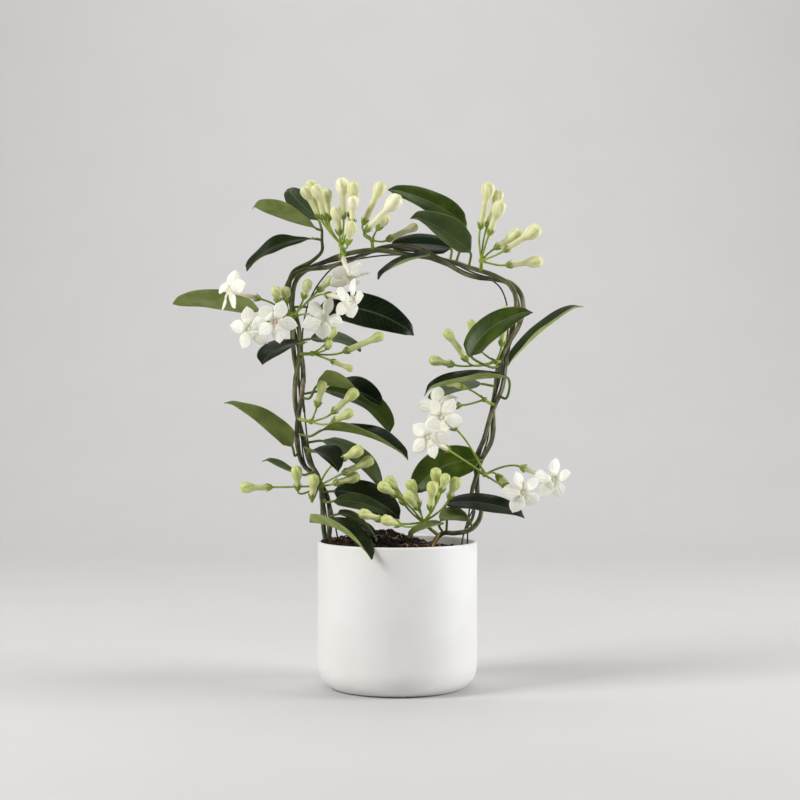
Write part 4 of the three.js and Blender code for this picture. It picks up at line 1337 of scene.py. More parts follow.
@dataclass
class Foliage:
    """The leathery leaves, each a stalk that widens into a blade folded along its midrib.

    Attributes:
        stems: The stems that the leaves grow on.
        stalk: The stalk's radius, in millimetres.
        rib: The blade's thickness at the midrib.
        edge: Its thickness at the margins.
        foot_share: The share of the blade's length over which its foot narrows.
        vein_gap: How far apart the side veins are.
        groove: How deep the midrib lies in the upper side.
        stalk_rings: How many rings the stalk has.
        blade_rings: How many rings the blade has.
        half: How many steps one side of the section has.
    """

    stems: Stems
    stalk: float = 1.1
    rib: float = 1.5
    edge: float = 0.7
    foot_share: float = 0.12
    vein_gap: float = 5.6
    groove: float = 0.22
    stalk_rings: int = 12
    blade_rings: int = 72
    half: int = 30

    def middle(self, leaf: LeafSpec) -> Array:
        """The midrib's line: the stalk's spline, then the blade's bow, rounded off where they meet.

        Each of eight steps moves a point towards the middle of its two neighbours, by a share of
        0.8 exp(-(i/4)^2) at i rings from the place where they meet.

        Args:
            leaf: The leaf.

        Returns:
            The line's points, the stalk's first.
        """
        base, tip = np.array(leaf.base, float), np.array(leaf.tip, float)
        stops = [np.array(stop, float) for stop in leaf.petiole]
        seat = self.stems.seat(stops[0] if stops else base)
        stalk = spline(np.array([seat, *stops, base]), self.stalk_rings + 1)[:-1]
        blade = bow(base, (base + tip) / 2 + np.array(leaf.arch), tip, self.blade_rings)
        line = np.vstack([stalk, blade])
        near = np.exp(-((np.arange(len(line)) - self.stalk_rings) / 4.0) ** 2)[1:-1, None]
        for _ in range(8):
            line[1:-1] += near * ((line[:-2] + line[2:]) / 2 - line[1:-1]) * 0.8
        return line

    def grid(self, leaf: LeafSpec, number: int) -> tuple[Array, dict[str, Array]]:
        """The leaf's closed skin and its marks.

        At share s the blade's half width is w = width/2 sin(pi s^belly)^0.58, narrowed by (s/0.12)^0.7 at the
        foot and by up to 0.55 of itself from s = 0.93 on. At t from -1 to 1 across it, a point lies
        t w cos(fold) sideways and w sin(fold) g(t) up, with g = (t^2 + 0.01)^0.5 - 0.1, and half the
        thickness above or below that. The thickness goes from the rib's to the margin's as exp(-(t/0.1)^2)
        and rounds off at |t| = 1. The margins wave, the halves bulge a little between the side veins, and
        from s = 0.85 on the point hooks away from the upper side.

        Args:
            leaf: The leaf.
            number: Its place in the table, which sets how its margins wave.

        Returns:
            The grid and its marks.
        """
        line = self.middle(leaf)
        rings = len(line)
        share = np.concatenate([np.zeros(self.stalk_rings), np.linspace(0.0, 1.0, self.blade_rings)])
        along = unit(np.gradient(line, axis=0))
        face = unit(np.array(leaf.face, float))
        tip_face = unit(np.array(leaf.tip_face or leaf.face, float))
        turned_face = face + (tip_face - face) * share[:, None]
        normal = unit(turned_face - along * (turned_face * along).sum(axis=1, keepdims=True))
        side = np.cross(along, normal)

        half_width = leaf.width / 2 * np.sin(np.pi * np.clip(share, 1e-4, 1 - 1e-4) ** leaf.belly) ** 0.58
        half_width = half_width * np.minimum(1.0, np.maximum(share, 1e-4) / self.foot_share) ** 0.7
        half_width = half_width * (1 - 0.55 * blend(0.93, 1.0, share)) + 0.25
        blade = blend(0.0, 0.05, share)
        fold = math.radians(leaf.fold)
        t = np.linspace(-1.0, 1.0, self.half + 1)
        lifted = np.sqrt(t ** 2 + 0.01) - 0.1
        rise = half_width[:, None] * math.sin(fold) * lifted[None]
        phase = number * 1.7
        length = np.concatenate([[0.0], np.cumsum(np.linalg.norm(np.diff(line, axis=0), axis=1))])
        wave = leaf.wave * np.sin(length / 8.5 + phase)[:, None] * np.abs(t[None]) ** 2.5 * np.sign(t)[None]
        wave += 0.5 * leaf.wave * np.sin(length / 5.1 + 2 * phase)[:, None] * t[None] ** 4
        rungs = (length[:, None] - 0.75 * np.abs(t)[None] * half_width[:, None]) / self.vein_gap
        bulge = 0.05 * np.sin(np.pi * rungs) ** 2 * np.sin(np.pi * np.abs(t)) ** 0.8
        curl = -leaf.hook * blend(0.85, 1.03, share)[:, None] ** 2 + 0 * t
        roll = -0.06 * half_width[:, None] * blend(0.55, 1.0, np.abs(t))[None] * (1 - leaf.fold / 60)
        height = (rise + wave + bulge + roll) * blade[:, None] + curl

        rib = self.rib + (self.edge - self.rib) * share
        thick = self.edge + (rib - self.edge)[:, None] * np.exp(-(t / 0.1) ** 2)[None]
        thick = thick / 2 * np.sqrt(np.clip(1 - np.abs(t) ** 9, 0.05, 1))[None]
        flat = t[None] * half_width[:, None] * math.cos(fold)
        groove = self.groove * np.exp(-(t / 0.07) ** 2)[None]
        pipe_side, pipe_up = np.sin(np.pi * t / 2) * self.stalk, np.cos(np.pi * t / 2) * self.stalk
        stalk = (1 - blade)[:, None]
        sideways = flat * blade[:, None] + pipe_side[None] * stalk
        above = (height + thick - groove * blade[:, None]) * blade[:, None] + pipe_up[None] * stalk
        under = (height - thick) * blade[:, None] - pipe_up[None] * stalk
        sideways = np.concatenate([sideways, sideways[:, ::-1]], axis=1)
        up = np.concatenate([above, under[:, ::-1]], axis=1)
        points = line[:, None] + side[:, None] * sideways[..., None] + normal[:, None] * up[..., None]

        both = np.concatenate([t, t[::-1]])
        below = np.concatenate([np.zeros(len(t)), np.ones(len(t))])
        marks = {
            "across": np.broadcast_to(both, (rings, len(both))),
            # The pale share darkens an underside with painted shade where it is below 1.
            "under": np.broadcast_to(below * leaf.pale, (rings, len(both))),
            "rungs": np.concatenate([rungs, rungs[:, ::-1]], axis=1),
            "stalk": 1 - blend(0.01, 0.06, share),
            "tone": np.full(rings, leaf.tone + 0.05 * math.sin(number * 2.3)),
        }
        return points, marks

    def build(self) -> None:
        """Makes every leaf."""
        for number, leaf in enumerate(LEAVES):
            points, marks = self.grid(leaf, number)
            shell = Shell(("across", "under", "rungs", "stalk", "tone"))
            shell.add(points, **marks)
            shell.build(leaf.name + "_skin", LeafSkin(), (leaf.name,))


# Umbels of buds and blooms

class BudState(Enum):
    """How far a bud has come."""

    CLOSED = "closed"
    OPENING = "opening"


@dataclass(frozen=True)
class BudSpec:
    """One bud, in millimetres.

    Attributes:
        calyx: Where its green cup starts.
        head: The middle of its head.
        radius: The head's radius.
        state: How far it has come.
    """

    calyx: Point
    head: Point
    radius: float
    state: BudState = BudState.CLOSED


@dataclass(frozen=True)
class BloomSpec:
    """One open flower, in millimetres.

    Attributes:
        name: The node that it stands for.
        calyx: Where its green cup starts.
        face: The middle of its mouth.
        spin: How far its lobes are turned, in degrees.
        look: The way it faces, if not along its tube.
        warm: How pink its throat and the foot of its tube are, from 0 to 1.
    """

    name: str
    calyx: Point
    face: Point
    spin: float
    look: Point | None = None
    warm: float = 0.3


@dataclass(frozen=True)
class UmbelSpec:
    """One head of flowers.

    Attributes:
        name: The node that it stands for.
        knob: Where its pedicels meet, in millimetres.
        buds: Its closed buds.
        blooms: Its open flowers.
    """

    name: str
    knob: Point
    buds: tuple[BudSpec, ...]
    blooms: tuple[BloomSpec, ...] = ()


UMBELS = (
    UmbelSpec("umbel_left_high", (-90, -15, 325), (
        BudSpec((-103, -18, 335), (-105, -22, 346), 4.5),
        BudSpec((-97, -12, 335), (-97, -14, 346), 4.5),
        BudSpec((-82, -14, 339), (-78, -17, 352), 4.5),
        BudSpec((-70, -10, 346), (-59, -12, 356), 4.2),
    ), (
        BloomSpec("bloom_far_left", (-118, -22, 339), (-145, -30, 346), 90, look=(-0.7, -0.68, 0.2)),
        BloomSpec("bloom_left", (-117, -21, 318), (-126, -46, 312), 98, warm=0),
        BloomSpec("bloom_left_near", (-99, -42, 322), (-102, -70, 317), 67, warm=1),
        BloomSpec("bloom_left_low", (-73, -22, 326), (-63, -46, 321), 63, warm=0.2),
        BloomSpec("bloom_left_right", (-63, -24, 343), (-39, -43, 337), 82),
    )),
    UmbelSpec("umbel_left_under", (-74, -16, 292), (
        BudSpec((-47, -24, 293), (-16, -30, 306), 4.5),
        BudSpec((-58, -27, 286), (-41, -33, 279), 3.2),
        BudSpec((-61, -28, 296), (-58, -37, 300), 3.4),
        BudSpec((-61, -22, 302), (-55, -24, 311), 3.6),
    )),
    UmbelSpec("umbel_middle_left", (-75, -16, 233), (
        BudSpec((-70, -20, 245), (-65, -22, 264), 4.4),
        BudSpec((-57, -23, 240), (-38, -29, 257), 5.2),
        BudSpec((-57, -28, 232), (-42, -33, 240), 4.6),
    )),
    UmbelSpec("umbel_low_left", (-68, -18, 177), (
        BudSpec((-108, -19, 176), (-131, -24, 176), 5),
        BudSpec((-86, -23, 173), (-87, -25, 190), 5),
        BudSpec((-74, -25, 165), (-72, -26, 183), 5),
        BudSpec((-56, -24, 179), (-37, -27, 185), 5),
        BudSpec((-48, -30, 188), (-25, -34, 199), 5),
        BudSpec((-50, -36, 200), (-34, -40, 208), 5.4),
    )),
    UmbelSpec("umbel_low_middle", (22, -24, 146), (
        BudSpec((7, -30, 161), (-6, -36, 182), 5),
        BudSpec((1, -40, 169), (-12, -46, 178), 5),
        BudSpec((19, -32, 159), (12, -36, 179), 5),
        BudSpec((18, -44, 158), (10, -50, 170), 5),
        BudSpec((33, -32, 165), (33, -37, 189), 5),
        BudSpec((37, -40, 172), (41, -43, 185), 4.4),
        BudSpec((28, -46, 157), (30, -51, 178), 5.2),
        BudSpec((44, -32, 166), (50, -36, 181), 5),
        BudSpec((-12, -56, 150), (-28, -62, 156), 4.6),
        BudSpec((3, -58, 146), (-9, -67, 151), 4.8),
    )),
    UmbelSpec("umbel_right_low", (76, -17, 187), (
        BudSpec((86, -12, 187), (93, -13, 179), 4.4),
    ), (
        BloomSpec("bloom_far_right", (106, -20, 194), (135, -28, 183), 90, look=(0.4, -0.9, -0.1)),
        BloomSpec("bloom_right", (91, -26, 178), (107, -46, 173), 36, look=(0.25, -0.96, -0.1)),
        BloomSpec("bloom_middle_low", (45, -36, 208), (26, -59, 220), 68, look=(-0.35, -0.93, 0)),
        BloomSpec("bloom_middle_high", (51, -31, 226), (38, -43, 237), 60, look=(-0.35, -0.9, 0.2)),
    )),
    UmbelSpec("umbel_right_high", (86, -8, 285), (
        BudSpec((61, -16, 285), (44, -20, 309), 4.6),
        BudSpec((68, -6, 303), (65, -5, 318), 4.2),
        BudSpec((50, -14, 282), (32, -18, 286), 4.6),
        BudSpec((91, -6, 298), (95, -3, 330), 4.2),
    )),
    UmbelSpec("umbel_right_middle", (76, -12, 252), (
        BudSpec((60, -10, 262), (44, -8, 267), 3.4),
    ), (
        BloomSpec("bloom_middle_back", (56, -7, 247), (35, -17, 246), 100, look=(-0.3, -0.93, 0.15)),
    )),
    UmbelSpec("umbel_crown", (-49, -11, 387), (
        BudSpec((-67, -5, 410), (-80, -4, 434), 5.2),
        BudSpec((-65, 4, 414), (-76, 6, 441), 5),
        BudSpec((-63, -13, 408), (-70, -15, 434), 5.4),
        BudSpec((-60, -3, 408), (-62, -1, 432), 5),
        BudSpec((-47, -8, 409), (-48, -7, 440), 6.2, BudState.OPENING),
        BudSpec((-41, -14, 409), (-38, -16, 436), 5.6),
        BudSpec((-39, -24, 402), (-38, -26, 423), 5, BudState.OPENING),
        BudSpec((-50, -20, 394), (-53, -22, 414), 5.2),
        BudSpec((-43, -26, 385), (-40, -28, 401), 5.4),
    ), (
        BloomSpec("bloom_hanging", (-49, -15, 380), (-41, -24, 357), 90, look=(0.25, -0.5, -0.83)),
    )),
    UmbelSpec("umbel_top", (-22, -11, 391), (
        BudSpec((-30, -14, 404), (-15, -17, 436), 5.6),
        BudSpec((-28, -23, 397), (-2, -26, 423), 6.8, BudState.OPENING),
        BudSpec((-18, -14, 399), (-11, -15, 409), 4.8),
        BudSpec((-10, -6, 391), (14, -1, 403), 4.2),
    )),
    UmbelSpec("umbel_top_right", (73, -14, 373), (
        BudSpec((72, -13, 400), (79, -15, 435), 6.2),
        BudSpec((78, -8, 402), (88, -6, 430), 5.2),
        BudSpec((79, -20, 394), (88, -24, 418), 6),
        BudSpec((84, -14, 383), (103, -17, 395), 6),
        BudSpec((91, -24, 380), (118, -28, 397), 6.4),
        BudSpec((94, -12, 369), (121, -15, 372), 5.6),
    )),
)


def scale_leaf(path: Array, outward: Array, width: Array, thick: float, sides: int = 8) -> Array:
    """A thin pointed scale such as a sepal: an ellipse carried along a path.

    The point at angle a is path + side w cos a + outward h sin a, where side is square to both.

    Args:
        path: The scale's middle line.
        outward: The way that its outer face looks.
        width: Half its width at each point of the path.
        thick: Half its thickness.
        sides: How many points each ellipse has.

    Returns:
        A grid of rings.
    """
    along = unit(np.gradient(path, axis=0))
    side = unit(np.cross(along, outward))
    out = unit(np.cross(side, along))
    angle = np.linspace(0.0, 2 * np.pi, sides, endpoint=False)
    depth = thick * np.clip(width / width.max() * 1.6, 0.2, 1.0)
    return (path[:, None] + side[:, None] * (width[:, None] * np.cos(angle))[..., None]
            + out[:, None] * (depth[:, None] * np.sin(angle))[..., None])


def cup_axes(heading: Array) -> tuple[Array, Array]:
    """Two unit vectors square to a heading and to each other."""
    helper = np.eye(3)[np.abs(heading).argmin()]
    across = unit(helper - heading * float(helper @ heading))
    return across, np.cross(heading, across)


CUP = np.array([(0.5, 0.58), (1.0, 0.78), (1.6, 0.93), (2.2, 1.0), (2.9, 1.0), (3.5, 0.9)])


@dataclass
class Umbel:
    """A head of flowers: stalk, knob, pedicels with their cups and sepals, buds and open blooms.

    Attributes:
        spec: What is in it and where.
        stems: The stems that it grows on.
        peduncle: The stalk's radius, in millimetres.
        knob: The knob's radius.
        pedicel: A pedicel's radius.
        calyx: A cup's radius.
        furrow: How deep a bud's furrows are, as a share of its radius.
        twist: How far they wind over a bud's length, in radians.
        ripening: The heights between which closed buds go from green to cream.
    """

    spec: UmbelSpec
    stems: Stems
    peduncle: float = 1.4
    knob: float = 2.6
    pedicel: float = 0.85
    calyx: float = 2.7
    furrow: float = 0.22
    twist: float = 1.9
    ripening: tuple[float, float] = (280.0, 390.0)

    def add_stalk(self, shell: Shell, calyx: Array, heading: Array, scale: float, turn: float) -> None:
        """Adds one pedicel, the cup at its end, its five sepals and the small scale at its foot.

        The cup's table gives how far along it each ring is, in millimetres, and its share of the cup's radius.

        Args:
            shell: Where they go.
            calyx: Where the cup starts.
            heading: The way that the flower points.
            scale: The cup's size beside a full one.
            turn: How far the sepals are turned, in radians.
        """
        knob = np.array(self.spec.knob, float)
        lift = float(np.linalg.norm(calyx - knob)) * 0.35
        stalk = bow(knob, calyx - heading * lift, calyx, 18)
        cup = calyx + heading * CUP[:, :1]
        radii = np.concatenate([
            self.pedicel * (1.12 - 0.12 * np.sin(np.linspace(0, np.pi, 18))),
            self.calyx * scale * CUP[:, 1],
        ])
        shell.add(tube(np.vstack([stalk, cup]), radii, 12))
        across, over = cup_axes(heading)
        spread = np.linspace(0.0, 1.0, 8)
        for number in range(5):
            angle = turn + number * 2 * np.pi / 5
            out = across * math.cos(angle) + over * math.sin(angle)
            flare = self.calyx * scale * (0.55 + 0.62 * np.sin(spread * np.pi * 0.55) + 0.32 * spread ** 3)
            path = calyx + heading * (0.6 + 5.6 * scale * spread)[:, None] + out * flare[:, None]
            width = 1.45 * scale * np.sin(np.pi * np.clip(0.16 + 0.84 * spread, 0, 0.995)) ** 0.8 + 0.06
            shell.add(scale_leaf(path, out, width, 0.28), point=blend(0.55, 1.0, spread))
        away = unit(stalk[4] - knob)
        bract_out = unit(np.cross(cup_axes(away)[0], away))
        path = knob + away * (1.2 + 4.2 * spread)[:, None] + bract_out * (0.9 + 0.5 * spread ** 2)[:, None]
        width = 0.95 * np.sin(np.pi * np.clip(0.2 + 0.8 * spread, 0, 0.995)) ** 0.8 + 0.05
        shell.add(scale_leaf(path, bract_out, width, 0.25), point=blend(0.4, 1.0, spread))

    def bud_grid(self, bud: BudSpec, turn: float) -> tuple[Array, dict[str, Array]]:
        """A bud: foot, neck and a pointed head with five furrows that wind round it.

        The radius goes by straight lines from foot to neck to head, smoothed three times. At angle a and
        share s it is less by furrow (1 - |sin(5 (a + twist s) / 2)|)^2 of itself where the head is.

        Args:
            bud: The bud.
            turn: How far its furrows are turned, in radians.

        Returns:
            The grid and its marks.
        """
        calyx, head = np.array(bud.calyx, float), np.array(bud.head, float)
        length = float(np.linalg.norm(head - calyx))
        heading = (head - calyx) / length
        radius, scale = bud.radius, min(1.0, bud.radius / 4)
        start, end = 2.4, length + radius * 1.06
        rings, sides = 46, 30
        run = start + (end - start) * np.sin(np.linspace(0, np.pi / 2, rings)) ** 1.15
        stops = [start, 4.0, max(length - radius * 1.6, 4.6), length - radius * 0.95, length - radius * 0.3,
                 length + radius * 0.4, length + radius * 0.8, end]
        sizes = [2.1 * scale, 2.8 * scale, 2.6 * scale, 0.84 * radius, radius,
                 0.97 * radius, 0.7 * radius, 0.03]
        profile = np.interp(run, stops, sizes)
        inner = profile[1:-1]
        for _ in range(3):
            inner += (profile[:-2] + profile[2:] - 2 * inner) * 0.25
        share = (run - start) / (end - start)
        headed = blend(length - radius * 1.6, length - radius * 0.3, run)
        angle = np.linspace(0.0, 2 * np.pi, sides, endpoint=False)[None] + turn
        furrow = (1 - np.abs(np.sin(2.5 * (angle + self.twist * share[:, None])))) ** 2 * headed[:, None]
        reach = profile[:, None] * (1 - self.furrow * furrow)
        across, over = cup_axes(heading)
        middle = calyx + heading * run[:, None]
        grid = (middle[:, None] + across * (np.cos(angle) * reach)[..., None]
                + over * (np.sin(angle) * reach)[..., None])
        closed = 0.05 + 0.48 * float(blend(*self.ripening, calyx[2]))
        ripe = {BudState.CLOSED: closed, BudState.OPENING: 0.95}[bud.state]
        return grid, {"share": share, "furrow": furrow, "ripe": np.full(rings, ripe)}

    def build(self) -> None:
        """Makes the umbel's green parts, its buds and its blooms."""
        green = Shell(("point",))
        knob = np.array(self.spec.knob, float)
        seat = self.stems.seat(knob)
        droop = (seat + knob) / 2 + np.array([0.0, 0.0, -0.6])
        stalk = bow(seat, droop, knob, 12)
        green.add(tube(stalk, self.peduncle * np.linspace(1.15, 0.95, 12), 14, 5, 0.05))
        rise = np.linspace(0.15, np.pi - 0.15, 14)[:, None]
        turn = np.linspace(0, 2 * np.pi, 20, endpoint=False)
        lumps = self.knob * (0.92 + 0.12 * np.sin(4 * turn + 3 * rise) * np.sin(rise))
        ball = np.stack([np.sin(rise) * np.cos(turn), np.sin(rise) * np.sin(turn), np.cos(rise) + 0 * turn], -1)
        green.add(knob + ball * lumps[..., None])
        buds = Shell(("share", "furrow", "ripe"))
        for number, bud in enumerate(self.spec.buds):
            calyx, head = np.array(bud.calyx, float), np.array(bud.head, float)
            turn_by = number * 1.9 + knob[0] * 0.1
            self.add_stalk(green, calyx, unit(head - calyx), min(1.0, bud.radius / 4), turn_by)
            grid, marks = self.bud_grid(bud, turn_by)
            buds.add(grid, **marks)
        for number, bloom in enumerate(self.spec.blooms):
            calyx, face = np.array(bloom.calyx, float), np.array(bloom.face, float)
            self.add_stalk(green, calyx, unit(face - calyx), 1.0, number * 0.8)
            Bloom(bloom).build(number)
        green.build(self.spec.name + "_green", GreenStalk(), (self.spec.name,))
        buds.build(self.spec.name + "_buds", BudSkin(), (self.spec.name,))


@dataclass
class Bloom:
    """An open flower: a slender tube that opens into five pointed lobes.

    Attributes:
        spec: Where it is and how it is turned.
        lobe: How far the lobes reach from the middle, in millimetres.
        lobe_width: Half a lobe's greatest width.
        droop: How far back the lobes lean, as a share of their reach.
        foot: The tube's radius near the cup.
        waist: Its radius at its middle.
        mouth: Its radius at the mouth.
        groove: How deep the groove down a lobe's middle is.
        fold: How high the soft fold on each side of it is.
        thick: Half a lobe's thickness.
        plug: The radius of the dome that closes the throat.
    """

    spec: BloomSpec
    lobe: float = 20.0
    lobe_width: float = 6.0
    droop: float = 0.1
    foot: float = 2.4
    waist: float = 1.8
    mouth: float = 3.6
    groove: float = 1.1
    fold: float = 0.45
    thick: float = 0.42
    plug: float = 1.9

    def axes(self) -> tuple[Array, Array, Array, Array]:
        """The mouth's middle, the way it looks, and its right and up."""
        calyx, face = np.array(self.spec.calyx, float), np.array(self.spec.face, float)
        look = unit(np.array(self.spec.look, float)) if self.spec.look else unit(face - calyx)
        up = unit(UPRIGHT - look * float(UPRIGHT @ look))
        return face, look, np.cross(up, look), up

    def add_tube(self, shell: Shell) -> None:
        """Adds the tube: outside from the cup to the mouth, then in over the lip and down the throat.

        Its middle is a spline that ends along the way the flower looks, and its radius goes from foot by
        waist to mouth. The throat's rings go back along that way, narrower each time, and a low dome closes
        the throat.

        Args:
            shell: Where it goes.
        """
        face, look, _, _ = self.axes()
        calyx = np.array(self.spec.calyx, float)
        axis = unit(face - calyx)
        length = float(np.linalg.norm(face - calyx))
        spots = [calyx + axis * 3.0, calyx + axis * 7.0, calyx + axis * length * 0.6, face - look * 3.2, face]
        path = spline(np.array(spots), 40)
        share = np.linspace(0.0, 1.0, 40)
        stops = [0.0, 0.16, 0.55, 0.86, 0.96, 1.0]
        radii = np.interp(share, stops, [1.9, self.foot, self.waist, 2.3, 2.9, self.mouth])
        radii[1:-1] += (radii[:-2] + radii[2:] - 2 * radii[1:-1]) * 0.25
        _, across, over = square_to(path)
        depth = np.array([-0.12, 0.1, 0.5, 0.9, 1.2, 1.4])
        inner = face - look * depth[:, None]
        middle = np.vstack([path, inner])
        radii = np.concatenate([radii, [3.5, 3.25, 2.8, 2.2, 1.4, 0.5]])
        across = np.vstack([across, np.repeat(across[-1:], 6, axis=0)])
        over = np.vstack([over, np.repeat(over[-1:], 6, axis=0)])
        angle = np.linspace(0.0, 2 * np.pi, 30, endpoint=False)
        grid = (middle[:, None] + across[:, None] * (np.cos(angle) * radii[:, None])[..., None]
                + over[:, None] * (np.sin(angle) * radii[:, None])[..., None])
        foot = np.concatenate([0.85 * (1 - blend(0.05, 0.7, share)), np.zeros(6)])
        throat = np.concatenate([np.zeros(40), [0.1, 0.4, 0.7, 0.85, 0.95, 1.0]])
        shell.add(grid, reach=1.0, side=0.125, foot=foot, throat=throat, warm=self.spec.warm)
        rise = np.linspace(0.2, np.pi - 0.2, 8)[:, None]
        right, up = across[-1], over[-1]
        dome = (face - look * 1.1 + look * (np.cos(rise) * 0.8)[..., None]
                + right * (np.sin(rise) * np.cos(angle) * self.plug)[..., None]
                + up * (np.sin(rise) * np.sin(angle) * self.plug)[..., None])
        shell.add(dome, reach=1.0, side=0.125, throat=0.9, warm=self.spec.warm)

    def add_lobe(self, shell: Shell, number: int, chance: np.random.Generator) -> None:
        """Adds one lobe as a closed thin blade.

        At share u of its length and v from -1 to 1 across, it lies reach(u) out, v w(u) sideways and h(u, v)
        up. Half the width is w = ((widest sin(pi u)^0.88)^2 + (2.6 (1 - u)^2)^2)^0.5, drawn in at the tip.
        The height rises over the lip by 0.85 sin(pi u / 0.34), leans back by the droop, bends back by u^4 at
        the tip and by |v|^2.4 at the margins, and has a groove exp(-(v/0.22)^2) down its middle with soft
        folds cos(2 pi v) beside it.

        Args:
            shell: Where it goes.
            number: Which of the five it is.
            chance: What makes it differ a little from the others.
        """
        face, look, right, up = self.axes()
        angle = math.radians(self.spec.spin + 72.0 * number + chance.normal(0, 2.2))
        out = right * math.cos(angle) + up * math.sin(angle)
        side = np.cross(look, out)
        u = np.linspace(0.0, 1.0, 30)
        v = np.linspace(-1.0, 1.0, 17)
        start, end = 3.2, self.lobe * (1 + chance.uniform(-0.07, 0.0))
        reach = start + (end - start) * u
        widest = self.lobe_width * chance.uniform(0.9, 1.06)
        bell = np.sin(np.pi * np.clip(u, 0.0, 0.9995)) ** 0.88
        half_width = np.sqrt((widest * bell) ** 2 + (2.6 * (1 - u) ** 2) ** 2)
        half_width = half_width * (1 - 0.5 * blend(0.85, 1.0, u)) + 0.08
        lean = self.droop + chance.normal(0, 0.035)
        lip = 0.85 * np.sin(np.pi * np.clip(u / 0.34, 0, 1)) + 0.25 * (1 - u)
        height = lip - lean * reach - chance.uniform(0.4, 1.8) * u ** 4
        roll = 0.3 + 0.1 * chance.uniform(-1, 1)
        bend = -roll * half_width[:, None] * np.abs(v[None]) ** 2.4
        fade = np.sin(np.pi * np.clip(u, 0, 1))[:, None] ** 0.6
        groove = -self.groove * np.exp(-(v[None] / 0.22) ** 2) * fade
        folds = self.fold * np.cos(2 * np.pi * v)[None] * np.sin(np.pi * u)[:, None]
        tilt = (0.26 + 0.24 * chance.uniform(-1, 1)) * v[None] * half_width[:, None]
        curve = chance.normal(0, 0.9) * u ** 2
        up_by = height[:, None] + bend + groove + folds + tilt
        thick = self.thick * np.sqrt(np.clip(1 - np.abs(v) ** 6, 0.06, 1))[None] * (1 - 0.55 * u ** 2)[:, None]
        both = np.concatenate([v, v[::-1]])
        sideways = both[None] * half_width[:, None] + curve[:, None]
        lift = np.concatenate([up_by + thick, (up_by - thick)[:, ::-1]], axis=1)
        grid = (face + out * reach[:, None, None] + side * sideways[..., None] + look * lift[..., None])
        shell.add(grid, reach=u, side=np.broadcast_to(both, (30, 34)), warm=self.spec.warm)

    def build(self, number: int) -> None:
        """Makes the flower; its small differences come from chance seeded by its number and place.

        Args:
            number: Its place among its umbel's flowers.
        """
        chance = np.random.default_rng(100 + number + int(abs(self.spec.face[0]) * 7))
        shell = Shell(("reach", "side", "foot", "throat", "warm"))
        self.add_tube(shell)
        for lobe in range(5):
            self.add_lobe(shell, lobe, chance)
        shell.build(self.spec.name + "_wax", PetalWax(), (self.spec.name,))


# Studio

@dataclass(frozen=True)
class Lamp:
    """One square soft light.

    Attributes:
        name: What it is called.
        place: Where it stands, in metres.
        size: Its width.
        power: Its power in watts.
        colour: Its colour.
        aim: What it shines at.
    """

    name: str
    place: Point
    size: float
    power: float
    colour: Point
    aim: Point = (0.0, 0.0, 0.2)


LAMPS = (
    Lamp("left_box", (-1.6, -0.85, 1.35), 0.9, 40.0, (1.0, 0.99, 0.97)),
    Lamp("right_box", (1.8, -0.3, 0.8), 1.1, 34.0, (0.99, 0.99, 1.0)),
    Lamp("wall_wash", (0.0, 0.9, 2.7), 1.8, 38.0, (1.0, 1.0, 1.0), aim=(0.0, 2.3, 0.9)),
)


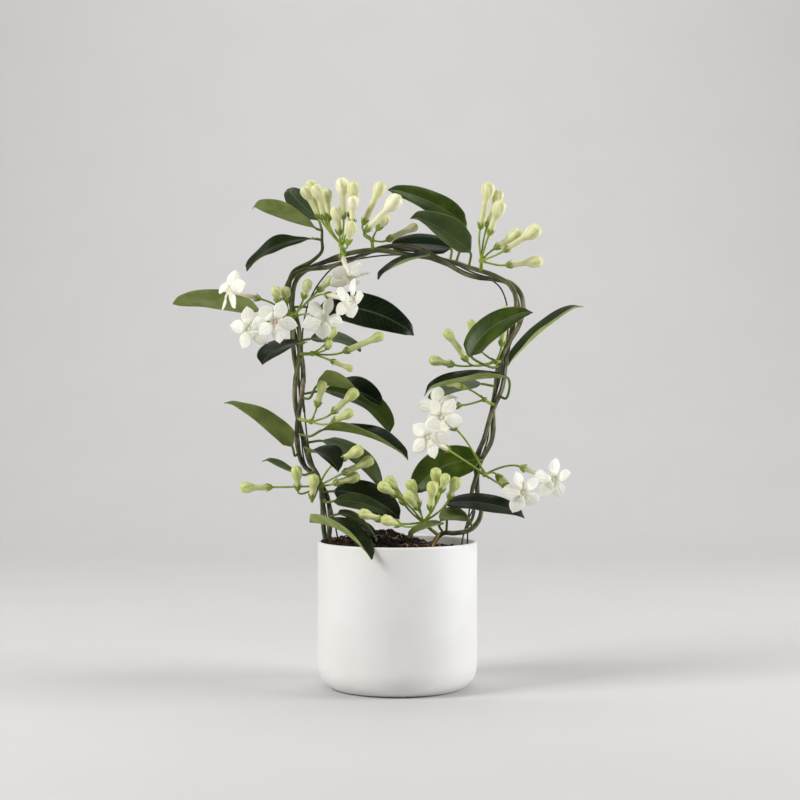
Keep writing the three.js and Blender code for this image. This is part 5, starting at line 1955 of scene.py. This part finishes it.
@dataclass
class Studio:
    """Plain pale floor that sweeps up behind, soft lights and the camera in front.

    Attributes:
        eye: Where the camera stands, in metres.
        aim: What it looks at.
        lens: Its focal length on a 36 mm sensor.
        reach: How far the floor goes to each side and to the front, and how high the wall goes.
        sweep: Where the floor starts to rise, and the radius of its rise.
        sky: The colour of the surroundings.
        sky_strength: How bright they are.
    """

    eye: Point = (0.00228, -1.493, 0.256)
    aim: Point = (0.00228, 0.0, 0.2516)
    lens: float = 76.5
    reach: float = 4.0
    sweep: float = 1.2
    sky: Colour = (0.95, 0.97, 1.0, 1.0)
    sky_strength: float = 0.13

    def camera(self) -> None:
        """Makes the camera and aims it level at the plant."""
        data = bpy.data.cameras.new("camera")
        data.lens, data.sensor_width = self.lens, 36.0
        data.clip_start, data.clip_end = 0.05, 20.0
        camera = bpy.data.objects.new("camera", data)
        camera.location = self.eye
        pitch = math.atan2(self.aim[2] - self.eye[2], self.aim[1] - self.eye[1])
        camera.rotation_euler = (math.pi / 2 + pitch, 0.0, 0.0)
        bpy.context.scene.collection.objects.link(camera)
        bpy.context.scene.camera = camera

    def floor(self) -> None:
        """Makes the floor: flat, then a quarter circle up into a wall behind."""
        turn = np.linspace(0.0, np.pi / 2, 24)
        flat = np.array([[-self.reach, 0.0], [self.sweep, 0.0]])
        rise = self.sweep * np.stack([1.0 + np.sin(turn), 1.0 - np.cos(turn)], axis=1)
        line = np.vstack([flat, rise[1:], [[2 * self.sweep, self.reach]]])
        x = np.array([-self.reach, self.reach])
        points = np.stack([np.broadcast_to(x[:, None], (2, len(line))),
                           np.broadcast_to(line[:, 0], (2, len(line))),
                           np.broadcast_to(line[:, 1], (2, len(line)))], axis=-1).reshape(-1, 3)
        index = np.arange(2 * len(line)).reshape(2, len(line))
        quads = np.stack([index[0, :-1], index[1, :-1], index[1, 1:], index[0, 1:]], axis=1)
        mesh = bpy.data.meshes.new("studio_floor")
        mesh.from_pydata(points.tolist(), [], quads.tolist())
        mesh.polygons.foreach_set("use_smooth", np.ones(len(quads), bool))
        mesh.materials.append(StudioPaper().material())
        floor = bpy.data.objects.new("studio_floor", mesh)
        bpy.context.scene.collection.objects.link(floor)

    def light(self, lamp: Lamp) -> None:
        """Makes one light and turns it to what it shines at.

        Args:
            lamp: The light.
        """
        data = bpy.data.lights.new(lamp.name, "AREA")
        data.shape, data.size, data.energy, data.color = "SQUARE", lamp.size, lamp.power, lamp.colour
        body = bpy.data.objects.new(lamp.name, data)
        body.location = lamp.place
        back = np.array(lamp.place) - np.array(lamp.aim)
        body.rotation_euler = (math.acos(back[2] / np.linalg.norm(back)), 0.0, math.atan2(back[0], -back[1]))
        bpy.context.scene.collection.objects.link(body)

    def build(self) -> None:
        """Sets up the camera, the floor, the lights and the pale surroundings."""
        self.camera()
        self.floor()
        for lamp in LAMPS:
            self.light(lamp)
        world = bpy.data.worlds.new("surroundings")
        world.use_nodes = True
        background = world.node_tree.nodes["Background"]
        background.inputs["Color"].default_value = self.sky
        background.inputs["Strength"].default_value = self.sky_strength
        bpy.context.scene.world = world
        bpy.context.scene.view_settings.view_transform = "Standard"


def main() -> None:
    """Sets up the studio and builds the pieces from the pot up."""
    logging.basicConfig(level=logging.INFO, format="%(message)s")
    Studio().build()
    Pot().build()
    Soil().build()
    Hoops().build()
    stems = Stems()
    stems.lay_out()
    stems.build()
    Foliage(stems).build()
    for spec in UMBELS:
        Umbel(spec, stems).build()


if __name__ == "__main__":
    main()
